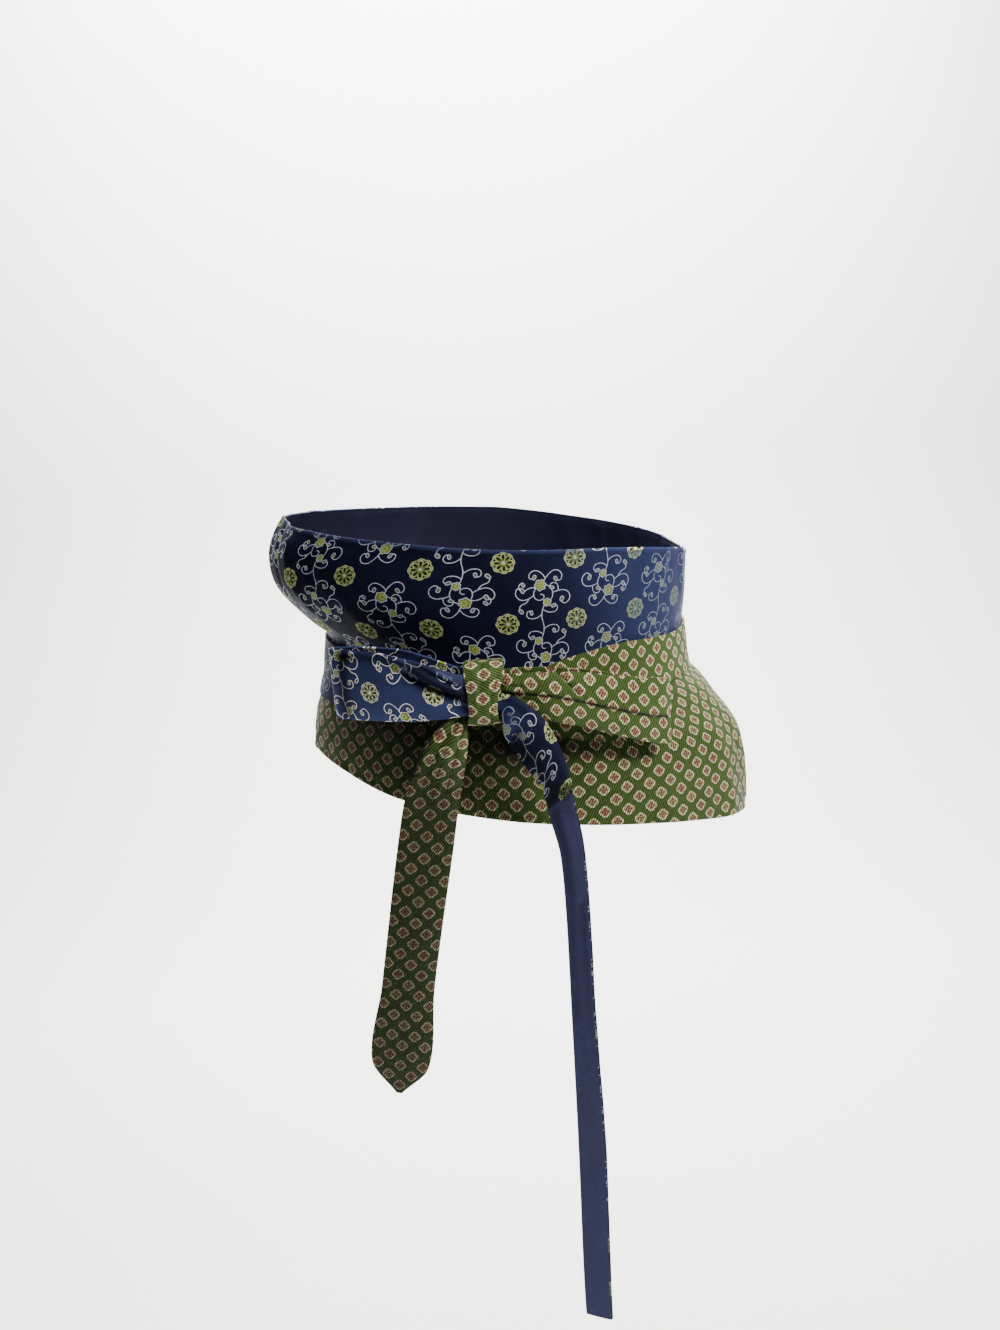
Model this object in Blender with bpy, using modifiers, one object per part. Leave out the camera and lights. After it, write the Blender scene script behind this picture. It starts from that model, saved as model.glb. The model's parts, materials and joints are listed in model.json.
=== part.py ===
"""Worn obi sash made of two necktie silks: a wide wrap in two halves, waist ties and a bow.

Metres, +Z up. The origin is the centre of the waist, level with the ties. The front faces -Y, the
wearer's right side is at -X and the left side at +X. Tables give sizes in millimetres and turns in
degrees, counted from the front towards the wearer's left side.
"""
from collections import namedtuple
import math

import bmesh
import bpy
from mathutils import Vector

MM = 0.001

# Cloth thickness and the space that is kept between two pieces
WALL = 1.5 * MM
TAIL_WALL = 2.0 * MM
SEAM_GAP = 0.35 * MM
LAYER_GAP = 0.45 * MM
TIE_GAP = 0.9 * MM

# Outline of the wrap from above at each share of the way from the waist seam to an edge
Girth = namedtuple("Girth", "share right left front back")
UPPER_FORM = (
    Girth(0.00, 128.0, 123.0, 97.0, 98.0),
    Girth(0.23, 125.8, 122.3, 97.0, 98.0),
    Girth(0.32, 135.5, 122.8, 97.5, 99.0),
    Girth(0.55, 154.5, 124.8, 99.5, 102.0),
    Girth(0.72, 157.5, 125.6, 100.5, 104.0),
    Girth(0.86, 153.5, 126.4, 101.0, 105.0),
    Girth(1.00, 144.0, 127.0, 101.5, 106.0),
)
LOWER_FORM = (
    Girth(0.00, 128.0, 123.0, 97.0, 98.0),
    Girth(0.13, 129.3, 125.6, 97.2, 98.3),
    Girth(0.21, 131.0, 135.5, 98.0, 100.0),
    Girth(0.33, 133.5, 145.5, 99.5, 103.0),
    Girth(0.48, 137.5, 158.5, 102.0, 107.0),
    Girth(0.60, 139.5, 163.5, 104.0, 110.0),
    Girth(0.80, 142.0, 165.5, 106.5, 113.0),
    Girth(1.00, 143.0, 166.0, 108.0, 115.0),
)

# Heights of the wrap's upper edge, waist seam and lower edge round the body
Edge = namedtuple("Edge", "turn top seam bottom")
EDGES = (
    Edge(-180, 80.0, -9.5, -98.0),
    Edge(-135, 90.0, -8.0, -80.0),
    Edge(-90, 96.0, -6.6, -64.0),
    Edge(-60, 91.0, -7.5, -66.5),
    Edge(-32, 84.0, -9.0, -82.0),
    Edge(0, 74.5, -10.5, -97.0),
    Edge(32, 68.5, -11.5, -112.0),
    Edge(60, 60.5, -11.7, -126.5),
    Edge(90, 52.0, -11.7, -137.0),
    Edge(135, 64.0, -11.0, -122.0),
    Edge(180, 80.0, -9.5, -98.0),
)

# Soft standing folds of the wrap, on its upper (+1) or lower (-1) half, highest at the free edge
Fold = namedtuple("Fold", "turn spread height half")
FOLDS = (
    Fold(-158, 9, 2.6, +1),
    Fold(-128, 8, 2.2, +1),
    Fold(-104, 7, -1.8, +1),
    Fold(-66, 8, 1.6, +1),
    Fold(118, 9, 1.8, +1),
    Fold(152, 8, -1.6, +1),
    Fold(-140, 9, -2.0, -1),
    Fold(-112, 8, 1.8, -1),
    Fold(58, 8, 1.6, -1),
    Fold(80, 7, -1.8, -1),
    Fold(112, 9, 2.6, -1),
    Fold(146, 9, 2.4, -1),
)

# Middle height and half width of each waist tie, at turns counted away from the knot
Band = namedtuple("Band", "turn middle half_width")
NAVY_TIE = (
    Band(0, -11.0, 9.0),
    Band(10, -10.5, 15.0),
    Band(24, -9.5, 18.5),
    Band(50, -8.0, 19.2),
    Band(82, -6.6, 19.4),
    Band(130, -8.0, 18.0),
    Band(174, -9.5, 17.0),
)
GREEN_TIE = (
    Band(0, -12.5, 7.5),
    Band(11, -12.0, 8.2),
    Band(18.5, -10.8, 12.8),
    Band(26, -10.0, 15.2),
    Band(36, -9.6, 17.0),
    Band(46, -9.8, 16.8),
    Band(66, -11.4, 15.3),
    Band(98, -11.7, 15.6),
    Band(140, -10.5, 16.0),
    Band(186, -9.5, 17.0),
)
KNOT_TURN = -6.0

# The knot: a turn of tie round the middle of the bow, seen from its side as a rounded loop
KNOT_FRONT = -129.0
KNOT_MIDDLE_HEIGHT = -7.8
KNOT_HALF_HEIGHT = 19.4
KNOT_SQUARENESS = 0.72
# Its front face is rounded from side to side by this height
KNOT_CROWN = 0.9
# Its back rests on the ties at this turn
KNOT_TOUCH_TURN = -3.5
# Angles run from the top of the knot over its front to the bottom and up behind
Wrap = namedtuple("Wrap", "angle middle half_width")
KNOT = (
    Wrap(0, -16.8, 12.0),
    Wrap(60, -17.0, 11.0),
    Wrap(100, -18.6, 9.1),
    Wrap(150, -19.2, 8.8),
    Wrap(180, -19.0, 9.2),
    Wrap(270, -17.6, 10.0),
    Wrap(360, -16.8, 12.0),
)

# Each loop is one strip that leaves the knot, folds back at its end and returns behind itself
Strip = namedtuple("Strip", "along x y bottom top crown")
NAVY_LOOP = (
    Strip(0.00, -19.0, -124.6, -17.5, -6.0, 0.0),
    Strip(0.10, -31.0, -124.8, -18.5, -3.0, 0.2),
    Strip(0.22, -50.0, -122.0, -20.5, 10.0, 2.5),
    Strip(0.33, -72.0, -114.5, -21.8, 19.5, 3.5),
    Strip(0.44, -99.0, -101.0, -22.6, 22.0, 2.0),
    Strip(0.48, -108.5, -95.0, -23.0, 21.6, 0.5),
    Strip(0.50, -110.8, -91.0, -23.0, 21.2, 0.0),
    Strip(0.52, -108.0, -87.5, -23.0, 20.8, 0.0),
    Strip(0.60, -92.0, -92.0, -22.0, 21.0, -1.5),
    Strip(0.74, -64.0, -101.0, -20.5, 18.5, -2.0),
    Strip(0.88, -34.0, -107.5, -18.5, 8.0, -1.0),
    Strip(1.00, -19.0, -109.5, -17.5, 4.5, 0.0),
)
GREEN_LOOP = (
    Strip(0.00, -14.0, -121.2, -14.0, 4.0, 0.0),
    Strip(0.10, -2.0, -121.2, -17.0, 4.6, 0.3),
    Strip(0.22, 21.0, -120.5, -27.0, 3.2, 1.8),
    Strip(0.33, 46.0, -114.5, -36.5, -0.8, 2.8),
    Strip(0.44, 80.0, -104.0, -51.0, -10.0, 1.8),
    Strip(0.48, 93.5, -97.5, -55.5, -13.6, 0.5),
    Strip(0.50, 96.5, -94.0, -56.5, -14.4, 0.0),
    Strip(0.52, 93.8, -90.0, -57.0, -15.0, 0.0),
    Strip(0.60, 75.0, -94.5, -53.0, -11.5, -1.5),
    Strip(0.74, 46.0, -101.0, -49.0, -2.5, -2.0),
    Strip(0.88, 10.0, -107.5, -36.0, 3.6, -1.0),
    Strip(1.00, -14.0, -109.5, -18.0, 3.5, 0.0),
)

# The green tail: both long edges and the depth of each cross-section, down to its pointed tip
Blade = namedtuple("Blade", "along left_x left_z right_x right_z y cup")
GREEN_TAIL = (
    Blade(0.00, -25.0, -9.0, -23.0, -20.0, -117.0, 0.0),
    Blade(0.05, -34.0, -18.5, -29.8, -25.2, -118.5, 1.0),
    Blade(0.10, -43.5, -24.5, -30.2, -33.0, -121.0, 3.0),
    Blade(0.16, -53.0, -33.0, -31.0, -41.5, -122.0, 4.0),
    Blade(0.22, -61.0, -45.0, -33.0, -51.0, -121.5, 3.2),
    Blade(0.32, -71.0, -69.5, -38.5, -74.0, -119.5, 1.6),
    Blade(0.45, -79.5, -104.0, -46.0, -110.0, -119.5, 1.2),
    Blade(0.62, -89.5, -151.0, -56.5, -157.0, -120.0, 1.4),
    Blade(0.78, -99.0, -197.0, -66.0, -203.0, -120.5, 1.2),
    Blade(0.93, -110.8, -249.0, -74.8, -258.0, -121.0, 1.0),
    Blade(1.00, -97.2, -274.0, -94.4, -275.0, -121.5, 0.2),
)

# The navy tail, folded lengthwise: its open edges, its folded edge, depth and the fold's opening
Crease = namedtuple("Crease", "along open_x open_z fold_x fold_z y opening")
NAVY_TAIL = (
    Crease(0.00, -12.5, -16.0, -12.0, -7.8, -124.3, 1.9),
    Crease(0.04, -8.4, -18.0, -4.5, -8.0, -124.4, 2.0),
    Crease(0.08, -7.6, -31.5, 5.0, -13.0, -127.0, 4.5),
    Crease(0.13, -0.5, -44.0, 15.2, -23.0, -128.0, 7.5),
    Crease(0.18, 6.5, -56.0, 21.8, -36.0, -127.8, 8.5),
    Crease(0.23, 12.5, -68.0, 27.4, -54.0, -126.6, 7.0),
    Crease(0.29, 16.0, -88.0, 31.0, -78.0, -124.8, 4.4),
    Crease(0.36, 20.8, -114.0, 35.0, -108.0, -123.0, 2.8),
    Crease(0.46, 22.0, -157.0, 36.6, -153.0, -121.5, 2.3),
    Crease(0.60, 21.2, -232.0, 36.4, -230.0, -120.5, 2.3),
    Crease(0.78, 19.8, -332.0, 37.8, -331.0, -120.5, 2.3),
    Crease(0.92, 17.6, -428.0, 36.0, -430.0, -120.5, 2.3),
    Crease(1.00, 17.2, -468.0, 35.2, -475.5, -120.5, 2.3),
)

# Columns and rows of each piece's mesh
WRAP_GRID = (60, 10)
NAVY_TIE_GRID = (29, 5)
GREEN_TIE_GRID = (31, 5)
KNOT_GRID = (28, 6)
LOOP_GRID = (34, 7)
GREEN_TAIL_GRID = (28, 6)
NAVY_TAIL_GRID = (36, 10)
# The wrap's rows lie closer together towards the waist, where the ties hold it in
ROW_SPREAD = 1.6

Finish = namedtuple("Finish", "colour roughness")
NAVY_BROCADE = Finish((0.020, 0.026, 0.080, 1.0), 0.42)
GREEN_FOULARD = Finish((0.080, 0.130, 0.030, 1.0), 0.62)


def read_table(rows, at, column):
    """A named column's value at a place between the rows, on a smooth curve through them."""
    keys = [row[0] for row in rows]
    values = [getattr(row, column) for row in rows]
    last = len(rows) - 1
    at = min(max(at, keys[0]), keys[last])
    index = 0
    while index < last - 1 and keys[index + 1] <= at:
        index += 1

    def slope(place):
        low = max(place - 1, 0)
        high = min(place + 1, last)
        return (values[high] - values[low]) / (keys[high] - keys[low])

    span = keys[index + 1] - keys[index]
    t = (at - keys[index]) / span
    start = values[index] * (1 + 2 * t) * (1 - t) ** 2
    end = values[index + 1] * t ** 2 * (3 - 2 * t)
    leave = slope(index) * span * t * (1 - t) ** 2
    arrive = slope(index + 1) * span * t ** 2 * (t - 1)
    return start + end + leave + arrive


def edge_height(turn, column):
    """Height of the wrap's top edge, waist seam or bottom edge at a turn, in metres."""
    return read_table(EDGES, turn, column) * MM


def fold_height(turn, share, half):
    """How far the folds of one half of the wrap stand out at a turn and a share of its height."""
    height = 0.0
    for fold in FOLDS:
        if fold.half == half:
            away = (turn - fold.turn) / fold.spread
            height += fold.height * math.exp(-away * away)
    return height * MM * share ** 2


def wrap_point(turn, height, out=0.0):
    """A point of the wrap's outer face, moved straight out from the body by a distance."""
    seam = edge_height(turn, "seam")
    half = 1 if height >= seam else -1
    edge = edge_height(turn, "top" if half > 0 else "bottom")
    form = UPPER_FORM if half > 0 else LOWER_FORM
    share = (height - seam) / (edge - seam)
    angle = math.radians(turn)
    side = read_table(form, share, "left" if turn > 0 else "right") * MM
    end = read_table(form, share, "front" if math.cos(angle) > 0 else "back") * MM
    outward = Vector((math.sin(angle) / side, -math.cos(angle) / end, 0.0)).normalized()
    surface = Vector((side * math.sin(angle), -end * math.cos(angle), height))
    return surface + outward * (out + fold_height(turn, share, half))


def upper_panel_point(u, v):
    """A point of the navy panel: u runs once round the body and v up from the waist seam."""
    turn = -180 + 360 * u
    low = edge_height(turn, "seam") + SEAM_GAP / 2
    return wrap_point(turn, low + v ** ROW_SPREAD * (edge_height(turn, "top") - low))


def lower_panel_point(u, v):
    """A point of the green panel: u runs once round the body and v up to the waist seam."""
    turn = -180 + 360 * u
    low = edge_height(turn, "bottom")
    high = edge_height(turn, "seam") - SEAM_GAP / 2
    return wrap_point(turn, high + (1 - v) ** ROW_SPREAD * (low - high))


def tie_point(rows, side, u, v):
    """A point of a waist tie's outer face, which lies on the wrap from the knot to the back."""
    ends_gap = 0.1
    away = ends_gap + u * (rows[-1].turn - 2 * ends_gap)
    middle = read_table(rows, away, "middle") * MM
    half_width = read_table(rows, away, "half_width") * MM
    out = TIE_GAP + WALL
    return wrap_point(KNOT_TURN + side * away, middle + (2 * v - 1) * half_width, out)


def navy_tie_point(u, v):
    """The tie on the wearer's right runs from the back to the knot, so that its face points out."""
    return tie_point(NAVY_TIE, -1, 1 - u, v)


def green_tie_point(u, v):
    """The tie on the wearer's left runs from the knot to the back."""
    return tie_point(GREEN_TIE, 1, u, v)


def rounded(value):
    """A sine or cosine pushed outwards, which turns an ellipse into a rounded rectangle."""
    return math.copysign(abs(value) ** KNOT_SQUARENESS, value)


def knot_point(u, v):
    """A point of the knot's outer face: u runs over the top and down the front, v from right to left."""
    angle = math.radians(360 * u)
    tie_face = wrap_point(KNOT_TOUCH_TURN, KNOT_MIDDLE_HEIGHT * MM, TIE_GAP + WALL).y
    front = KNOT_FRONT * MM
    back = tie_face - LAYER_GAP
    middle_y = (front + back) / 2
    half_depth = (back - front) / 2
    x = read_table(KNOT, 360 * u, "middle") + (2 * v - 1) * read_table(KNOT, 360 * u, "half_width")
    falls_away = KNOT_CROWN * MM * (2 * v - 1) ** 2 * max(math.sin(angle), 0)
    y = middle_y - rounded(math.sin(angle)) * (half_depth - falls_away)
    z = (KNOT_MIDDLE_HEIGHT + rounded(math.cos(angle)) * KNOT_HALF_HEIGHT) * MM
    return Vector((x * MM, y, z))


def loop_point(rows, u, v):
    """A point in the middle of a bow loop's cloth: u along the strip, v from its bottom to its top."""
    bottom = read_table(rows, u, "bottom")
    top = read_table(rows, u, "top")
    crown = read_table(rows, u, "crown") * (1 - (2 * v - 1) ** 2)
    x = read_table(rows, u, "x")
    y = read_table(rows, u, "y") - crown
    return Vector((x, y, bottom + v * (top - bottom))) * MM


def navy_loop_point(u, v):
    """The navy loop, whose front layer rolls forward along its upper edge beside the knot."""
    roll_height = 3.4 * MM
    near_knot = min(1.0, max(0.0, (u - 0.09) / 0.07)) * min(1.0, max(0.0, (0.38 - u) / 0.18))
    roll = roll_height * near_knot * math.exp(-((v - 0.82) / 0.16) ** 2)
    return loop_point(NAVY_LOOP, u, v) + Vector((0, -roll, 0))


def green_loop_point(u, v):
    """The green loop, whose upper flap laps over its lower flap along the front layer."""
    lap_height = 0.9 * MM
    lap_at = 0.5
    on_front = min(1.0, max(0.0, (0.48 - u) / 0.06)) * min(1.0, u / 0.05)
    lap = lap_height * on_front / (1 + math.exp(-(v - lap_at) * 40))
    return loop_point(GREEN_LOOP, u, v) + Vector((0, -lap, 0))


def green_tail_point(u, v):
    """A point in the middle of the green tail's cloth, from its left edge to its right edge."""
    left = Vector((read_table(GREEN_TAIL, u, "left_x"), 0, read_table(GREEN_TAIL, u, "left_z")))
    right = Vector((read_table(GREEN_TAIL, u, "right_x"), 0, read_table(GREEN_TAIL, u, "right_z")))
    point = left.lerp(right, v)
    point.y = read_table(GREEN_TAIL, u, "y") - read_table(GREEN_TAIL, u, "cup") * (1 - (2 * v - 1) ** 2)
    return point * MM


def navy_tail_point(u, v):
    """A point of the navy tail, which runs from its front edge round the fold to its back edge."""
    across = 2 * v - 1
    share = across * across
    fold_reach = 0.4
    opened = math.sin(min(1.0, abs(across) / fold_reach) * math.pi / 2)
    opened = math.copysign(opened, across)
    edge = Vector((read_table(NAVY_TAIL, u, "open_x"), 0, read_table(NAVY_TAIL, u, "open_z")))
    fold = Vector((read_table(NAVY_TAIL, u, "fold_x"), 0, read_table(NAVY_TAIL, u, "fold_z")))
    point = fold.lerp(edge, share)
    point.y = read_table(NAVY_TAIL, u, "y") + opened * read_table(NAVY_TAIL, u, "opening") / 2
    return point * MM


def make_material(name, finish):
    """A plain material in a piece's colour."""
    material = bpy.data.materials.new(name)
    material.use_nodes = True
    shader = material.node_tree.nodes["Principled BSDF"]
    shader.inputs["Base Color"].default_value = finish.colour
    shader.inputs["Roughness"].default_value = finish.roughness
    material.diffuse_color = finish.colour
    return material


def make_cloth(collection, name, finish, grid, place, wall, offset, closed=False):
    """Lay a grid out as one piece of cloth by its place function and give it its thickness."""
    columns, rows = grid
    shape = bmesh.new()
    bmesh.ops.create_grid(shape, x_segments=columns, y_segments=rows, size=0.5)
    for point in shape.verts:
        point.co = place(point.co.x + 0.5, point.co.y + 0.5)
    if closed:
        bmesh.ops.remove_doubles(shape, verts=shape.verts, dist=0.00001)
    mesh = bpy.data.meshes.new(name)
    shape.to_mesh(mesh)
    shape.free()
    mesh.shade_smooth()
    mesh.materials.append(make_material(name + "_cloth", finish))
    piece = bpy.data.objects.new(name, mesh)
    collection.objects.link(piece)
    thickness = piece.modifiers.new("Thickness", "SOLIDIFY")
    thickness.thickness = wall
    thickness.offset = offset
    return piece


def build_sash():
    """Make every piece of the sash in its own collection."""
    for leftover in list(bpy.data.objects):
        bpy.data.objects.remove(leftover, do_unlink=True)
    sash = bpy.data.collections.new("obi_sash")
    bpy.context.scene.collection.children.link(sash)
    inwards = -1
    centred = 0
    make_cloth(sash, "navy_panel", NAVY_BROCADE, WRAP_GRID, upper_panel_point, WALL, inwards, closed=True)
    make_cloth(sash, "green_panel", GREEN_FOULARD, WRAP_GRID, lower_panel_point, WALL, inwards, closed=True)
    make_cloth(sash, "navy_tie", NAVY_BROCADE, NAVY_TIE_GRID, navy_tie_point, WALL, inwards)
    make_cloth(sash, "green_tie", GREEN_FOULARD, GREEN_TIE_GRID, green_tie_point, WALL, inwards)
    make_cloth(sash, "knot", GREEN_FOULARD, KNOT_GRID, knot_point, WALL, inwards, closed=True)
    make_cloth(sash, "navy_loop", NAVY_BROCADE, LOOP_GRID, navy_loop_point, WALL, centred)
    make_cloth(sash, "green_loop", GREEN_FOULARD, LOOP_GRID, green_loop_point, WALL, centred)
    make_cloth(sash, "green_tail", GREEN_FOULARD, GREEN_TAIL_GRID, green_tail_point, TAIL_WALL, centred)
    make_cloth(sash, "navy_tail", NAVY_BROCADE, NAVY_TAIL_GRID, navy_tail_point, WALL, centred)


build_sash()
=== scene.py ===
"""Looks of the worn obi sash: two necktie silks, waist ties and a bow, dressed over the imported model.

Metres, +Z up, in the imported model's frame: the origin is the centre of the waist, level with the
ties. The front faces -Y, the wearer's right side is at -X and the left side at +X. Tables give
sizes in millimetres and turns in degrees, counted from the front towards the wearer's left side.
"""

from collections import namedtuple
import json
import math

import bmesh
import bpy
from mathutils import Matrix, Vector, noise

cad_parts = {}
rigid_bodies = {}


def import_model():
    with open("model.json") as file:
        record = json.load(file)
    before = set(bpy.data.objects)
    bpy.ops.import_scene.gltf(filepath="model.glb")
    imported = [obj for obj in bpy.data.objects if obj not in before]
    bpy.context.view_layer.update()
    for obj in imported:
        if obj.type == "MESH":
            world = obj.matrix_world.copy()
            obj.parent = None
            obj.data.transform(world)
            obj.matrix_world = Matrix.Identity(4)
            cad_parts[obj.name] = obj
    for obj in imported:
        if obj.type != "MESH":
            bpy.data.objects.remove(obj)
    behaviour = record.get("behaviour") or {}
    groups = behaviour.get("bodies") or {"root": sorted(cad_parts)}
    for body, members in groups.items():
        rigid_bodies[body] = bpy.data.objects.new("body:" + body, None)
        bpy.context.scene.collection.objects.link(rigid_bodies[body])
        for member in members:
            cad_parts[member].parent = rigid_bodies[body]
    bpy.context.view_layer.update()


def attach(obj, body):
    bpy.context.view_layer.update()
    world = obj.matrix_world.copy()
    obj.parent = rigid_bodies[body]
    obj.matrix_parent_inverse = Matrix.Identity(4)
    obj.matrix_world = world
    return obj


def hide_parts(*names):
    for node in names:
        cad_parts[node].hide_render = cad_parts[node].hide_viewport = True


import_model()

bl_info = {
    "name": "Worn obi sash",
    "version": (1, 0, 0),
    "blender": (4, 5, 0),
    "location": "3D View > Sidebar > Sash",
    "description": "Cloth pieces, silks and a plain studio for a worn wrap sash tied in a bow",
    "category": "Add Mesh",
}

MM = 0.001

# Cloth thickness and the space that is kept between two pieces
WALL = 1.5 * MM
TAIL_WALL = 2.0 * MM
SEAM_GAP = 0.35 * MM
LAYER_GAP = 0.45 * MM
TIE_GAP = 0.9 * MM

# Outline of the wrap from above at each share of the way from the waist seam to an edge
Girth = namedtuple("Girth", "share right left front back")
UPPER_FORM = (
    Girth(0.00, 128.0, 123.0, 97.0, 98.0),
    Girth(0.23, 125.8, 122.3, 97.0, 98.0),
    Girth(0.32, 135.5, 122.8, 97.5, 99.0),
    Girth(0.55, 154.5, 124.8, 99.5, 102.0),
    Girth(0.72, 157.5, 125.6, 100.5, 104.0),
    Girth(0.86, 153.5, 126.4, 101.0, 105.0),
    Girth(1.00, 144.0, 127.0, 101.5, 106.0),
)
LOWER_FORM = (
    Girth(0.00, 128.0, 123.0, 97.0, 98.0),
    Girth(0.13, 129.3, 125.6, 97.2, 98.3),
    Girth(0.21, 131.0, 135.5, 98.0, 100.0),
    Girth(0.33, 133.5, 145.5, 99.5, 103.0),
    Girth(0.48, 137.5, 158.5, 102.0, 107.0),
    Girth(0.60, 139.5, 163.5, 104.0, 110.0),
    Girth(0.80, 142.0, 165.5, 106.5, 113.0),
    Girth(1.00, 143.0, 166.0, 108.0, 115.0),
)

# Heights of the wrap's upper edge, waist seam and lower edge round the body
Edge = namedtuple("Edge", "turn top seam bottom")
EDGES = (
    Edge(-180, 80.0, -9.5, -98.0),
    Edge(-135, 90.0, -8.0, -80.0),
    Edge(-90, 96.0, -6.6, -64.0),
    Edge(-60, 91.0, -7.5, -66.5),
    Edge(-32, 84.0, -9.0, -82.0),
    Edge(0, 74.5, -10.5, -97.0),
    Edge(32, 68.5, -11.5, -112.0),
    Edge(60, 60.5, -11.7, -126.5),
    Edge(90, 52.0, -11.7, -137.0),
    Edge(135, 64.0, -11.0, -122.0),
    Edge(180, 80.0, -9.5, -98.0),
)

# Soft standing folds of the wrap, on its upper (+1) or lower (-1) half, highest at the free edge
Fold = namedtuple("Fold", "turn spread height half")
FOLDS = (
    Fold(-158, 9, 2.6, +1),
    Fold(-128, 8, 2.2, +1),
    Fold(-104, 7, -1.8, +1),
    Fold(-66, 8, 1.6, +1),
    Fold(118, 9, 1.8, +1),
    Fold(152, 8, -1.6, +1),
    Fold(-140, 9, -2.0, -1),
    Fold(-112, 8, 1.8, -1),
    Fold(58, 8, 1.6, -1),
    Fold(80, 7, -1.8, -1),
    Fold(112, 9, 2.6, -1),
    Fold(146, 9, 2.4, -1),
)

# Middle height and half width of each waist tie, at turns counted away from the knot
Band = namedtuple("Band", "turn middle half_width")
NAVY_TIE = (
    Band(0, -11.0, 9.0),
    Band(10, -10.5, 15.0),
    Band(24, -9.5, 18.5),
    Band(50, -8.0, 19.2),
    Band(82, -6.6, 19.4),
    Band(130, -8.0, 18.0),
    Band(174, -9.5, 17.0),
)
GREEN_TIE = (
    Band(0, -12.5, 7.5),
    Band(11, -12.0, 8.2),
    Band(18.5, -10.8, 12.8),
    Band(26, -10.0, 15.2),
    Band(36, -9.6, 17.0),
    Band(46, -9.8, 16.8),
    Band(66, -11.4, 15.3),
    Band(98, -11.7, 15.6),
    Band(140, -10.5, 16.0),
    Band(186, -9.5, 17.0),
)
KNOT_TURN = -6.0

# The knot: a turn of tie round the middle of the bow, seen from its side as a rounded loop
KNOT_FRONT = -129.0
KNOT_MIDDLE_HEIGHT = -7.8
KNOT_HALF_HEIGHT = 19.4
KNOT_SQUARENESS = 0.72
# Its front face is rounded from side to side by this height
KNOT_CROWN = 0.9
# Its back rests on the ties at this turn
KNOT_TOUCH_TURN = -3.5
# Angles run from the top of the knot over its front to the bottom and up behind
Wrap = namedtuple("Wrap", "angle middle half_width")
KNOT = (
    Wrap(0, -16.8, 12.4),
    Wrap(60, -17.0, 11.6),
    Wrap(85, -18.4, 9.4),
    Wrap(105, -19.0, 8.6),
    Wrap(135, -19.2, 9.4),
    Wrap(180, -19.0, 10.2),
    Wrap(270, -17.6, 10.0),
    Wrap(360, -16.8, 12.0),
)

# Each loop is one strip that leaves the knot, folds back at its end and returns behind itself
Strip = namedtuple("Strip", "along x y bottom top crown")
NAVY_LOOP = (
    Strip(0.00, -19.0, -124.6, -17.5, 3.0, 0.0),
    Strip(0.10, -31.0, -124.8, -18.5, 6.5, 0.2),
    Strip(0.22, -50.0, -122.0, -20.5, 13.2, 2.5),
    Strip(0.33, -72.0, -114.5, -21.8, 19.5, 3.5),
    Strip(0.44, -99.0, -101.0, -22.6, 22.0, 2.0),
    Strip(0.48, -108.5, -95.0, -23.0, 21.6, 0.5),
    Strip(0.50, -110.8, -91.0, -23.0, 21.2, 0.0),
    Strip(0.52, -108.0, -87.5, -23.0, 20.8, 0.0),
    Strip(0.60, -92.0, -92.0, -22.0, 21.0, -1.5),
    Strip(0.74, -64.0, -101.0, -20.5, 18.5, -2.0),
    Strip(0.88, -34.0, -107.5, -18.5, 8.0, -1.0),
    Strip(1.00, -19.0, -109.5, -17.5, 4.5, 0.0),
)
GREEN_LOOP = (
    Strip(0.00, -14.0, -121.2, -14.0, 4.0, 0.0),
    Strip(0.10, -2.0, -121.2, -17.0, 4.6, 0.3),
    Strip(0.22, 21.0, -120.5, -27.0, 3.2, 1.8),
    Strip(0.33, 46.0, -114.5, -36.5, -0.8, 2.8),
    Strip(0.44, 80.0, -104.0, -51.0, -10.0, 1.8),
    Strip(0.48, 93.5, -97.5, -55.5, -13.6, 0.5),
    Strip(0.50, 96.5, -94.0, -56.5, -14.4, 0.0),
    Strip(0.52, 93.8, -90.0, -57.0, -15.0, 0.0),
    Strip(0.60, 75.0, -94.5, -53.0, -11.5, -1.5),
    Strip(0.74, 46.0, -101.0, -49.0, -2.5, -2.0),
    Strip(0.88, 10.0, -107.5, -36.0, 3.6, -1.0),
    Strip(1.00, -14.0, -109.5, -18.0, 3.5, 0.0),
)

# The edge of the green loop's upper flap
LapEdge = namedtuple("LapEdge", "u v")
GREEN_LAP = (
    LapEdge(0.05, 0.46),
    LapEdge(0.12, 0.50),
    LapEdge(0.22, 0.565),
    LapEdge(0.34, 0.50),
    LapEdge(0.484, 0.455),
)
LAP_STEEPNESS = 110

# The green tail: both long edges and the depth of each cross-section, down to its pointed tip
Blade = namedtuple("Blade", "along left_x left_z right_x right_z y cup")
GREEN_TAIL = (
    Blade(0.00, -25.0, -9.0, -23.0, -20.0, -117.0, 0.0),
    Blade(0.05, -34.0, -18.5, -29.8, -25.2, -118.5, 1.0),
    Blade(0.10, -43.5, -24.5, -30.2, -33.0, -121.0, 3.0),
    Blade(0.16, -53.0, -33.0, -31.0, -41.5, -122.0, 4.0),
    Blade(0.22, -61.0, -45.0, -33.0, -51.0, -121.5, 3.2),
    Blade(0.32, -71.0, -69.5, -38.5, -74.0, -119.5, 1.6),
    Blade(0.45, -79.5, -104.0, -46.0, -110.0, -119.5, 1.2),
    Blade(0.62, -89.5, -151.0, -56.5, -157.0, -120.0, 1.4),
    Blade(0.78, -99.0, -197.0, -66.0, -203.0, -120.5, 1.2),
    Blade(0.93, -110.8, -249.0, -74.8, -258.0, -121.0, 1.0),
    Blade(1.00, -97.2, -274.0, -94.4, -275.0, -121.5, 0.2),
)

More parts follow.
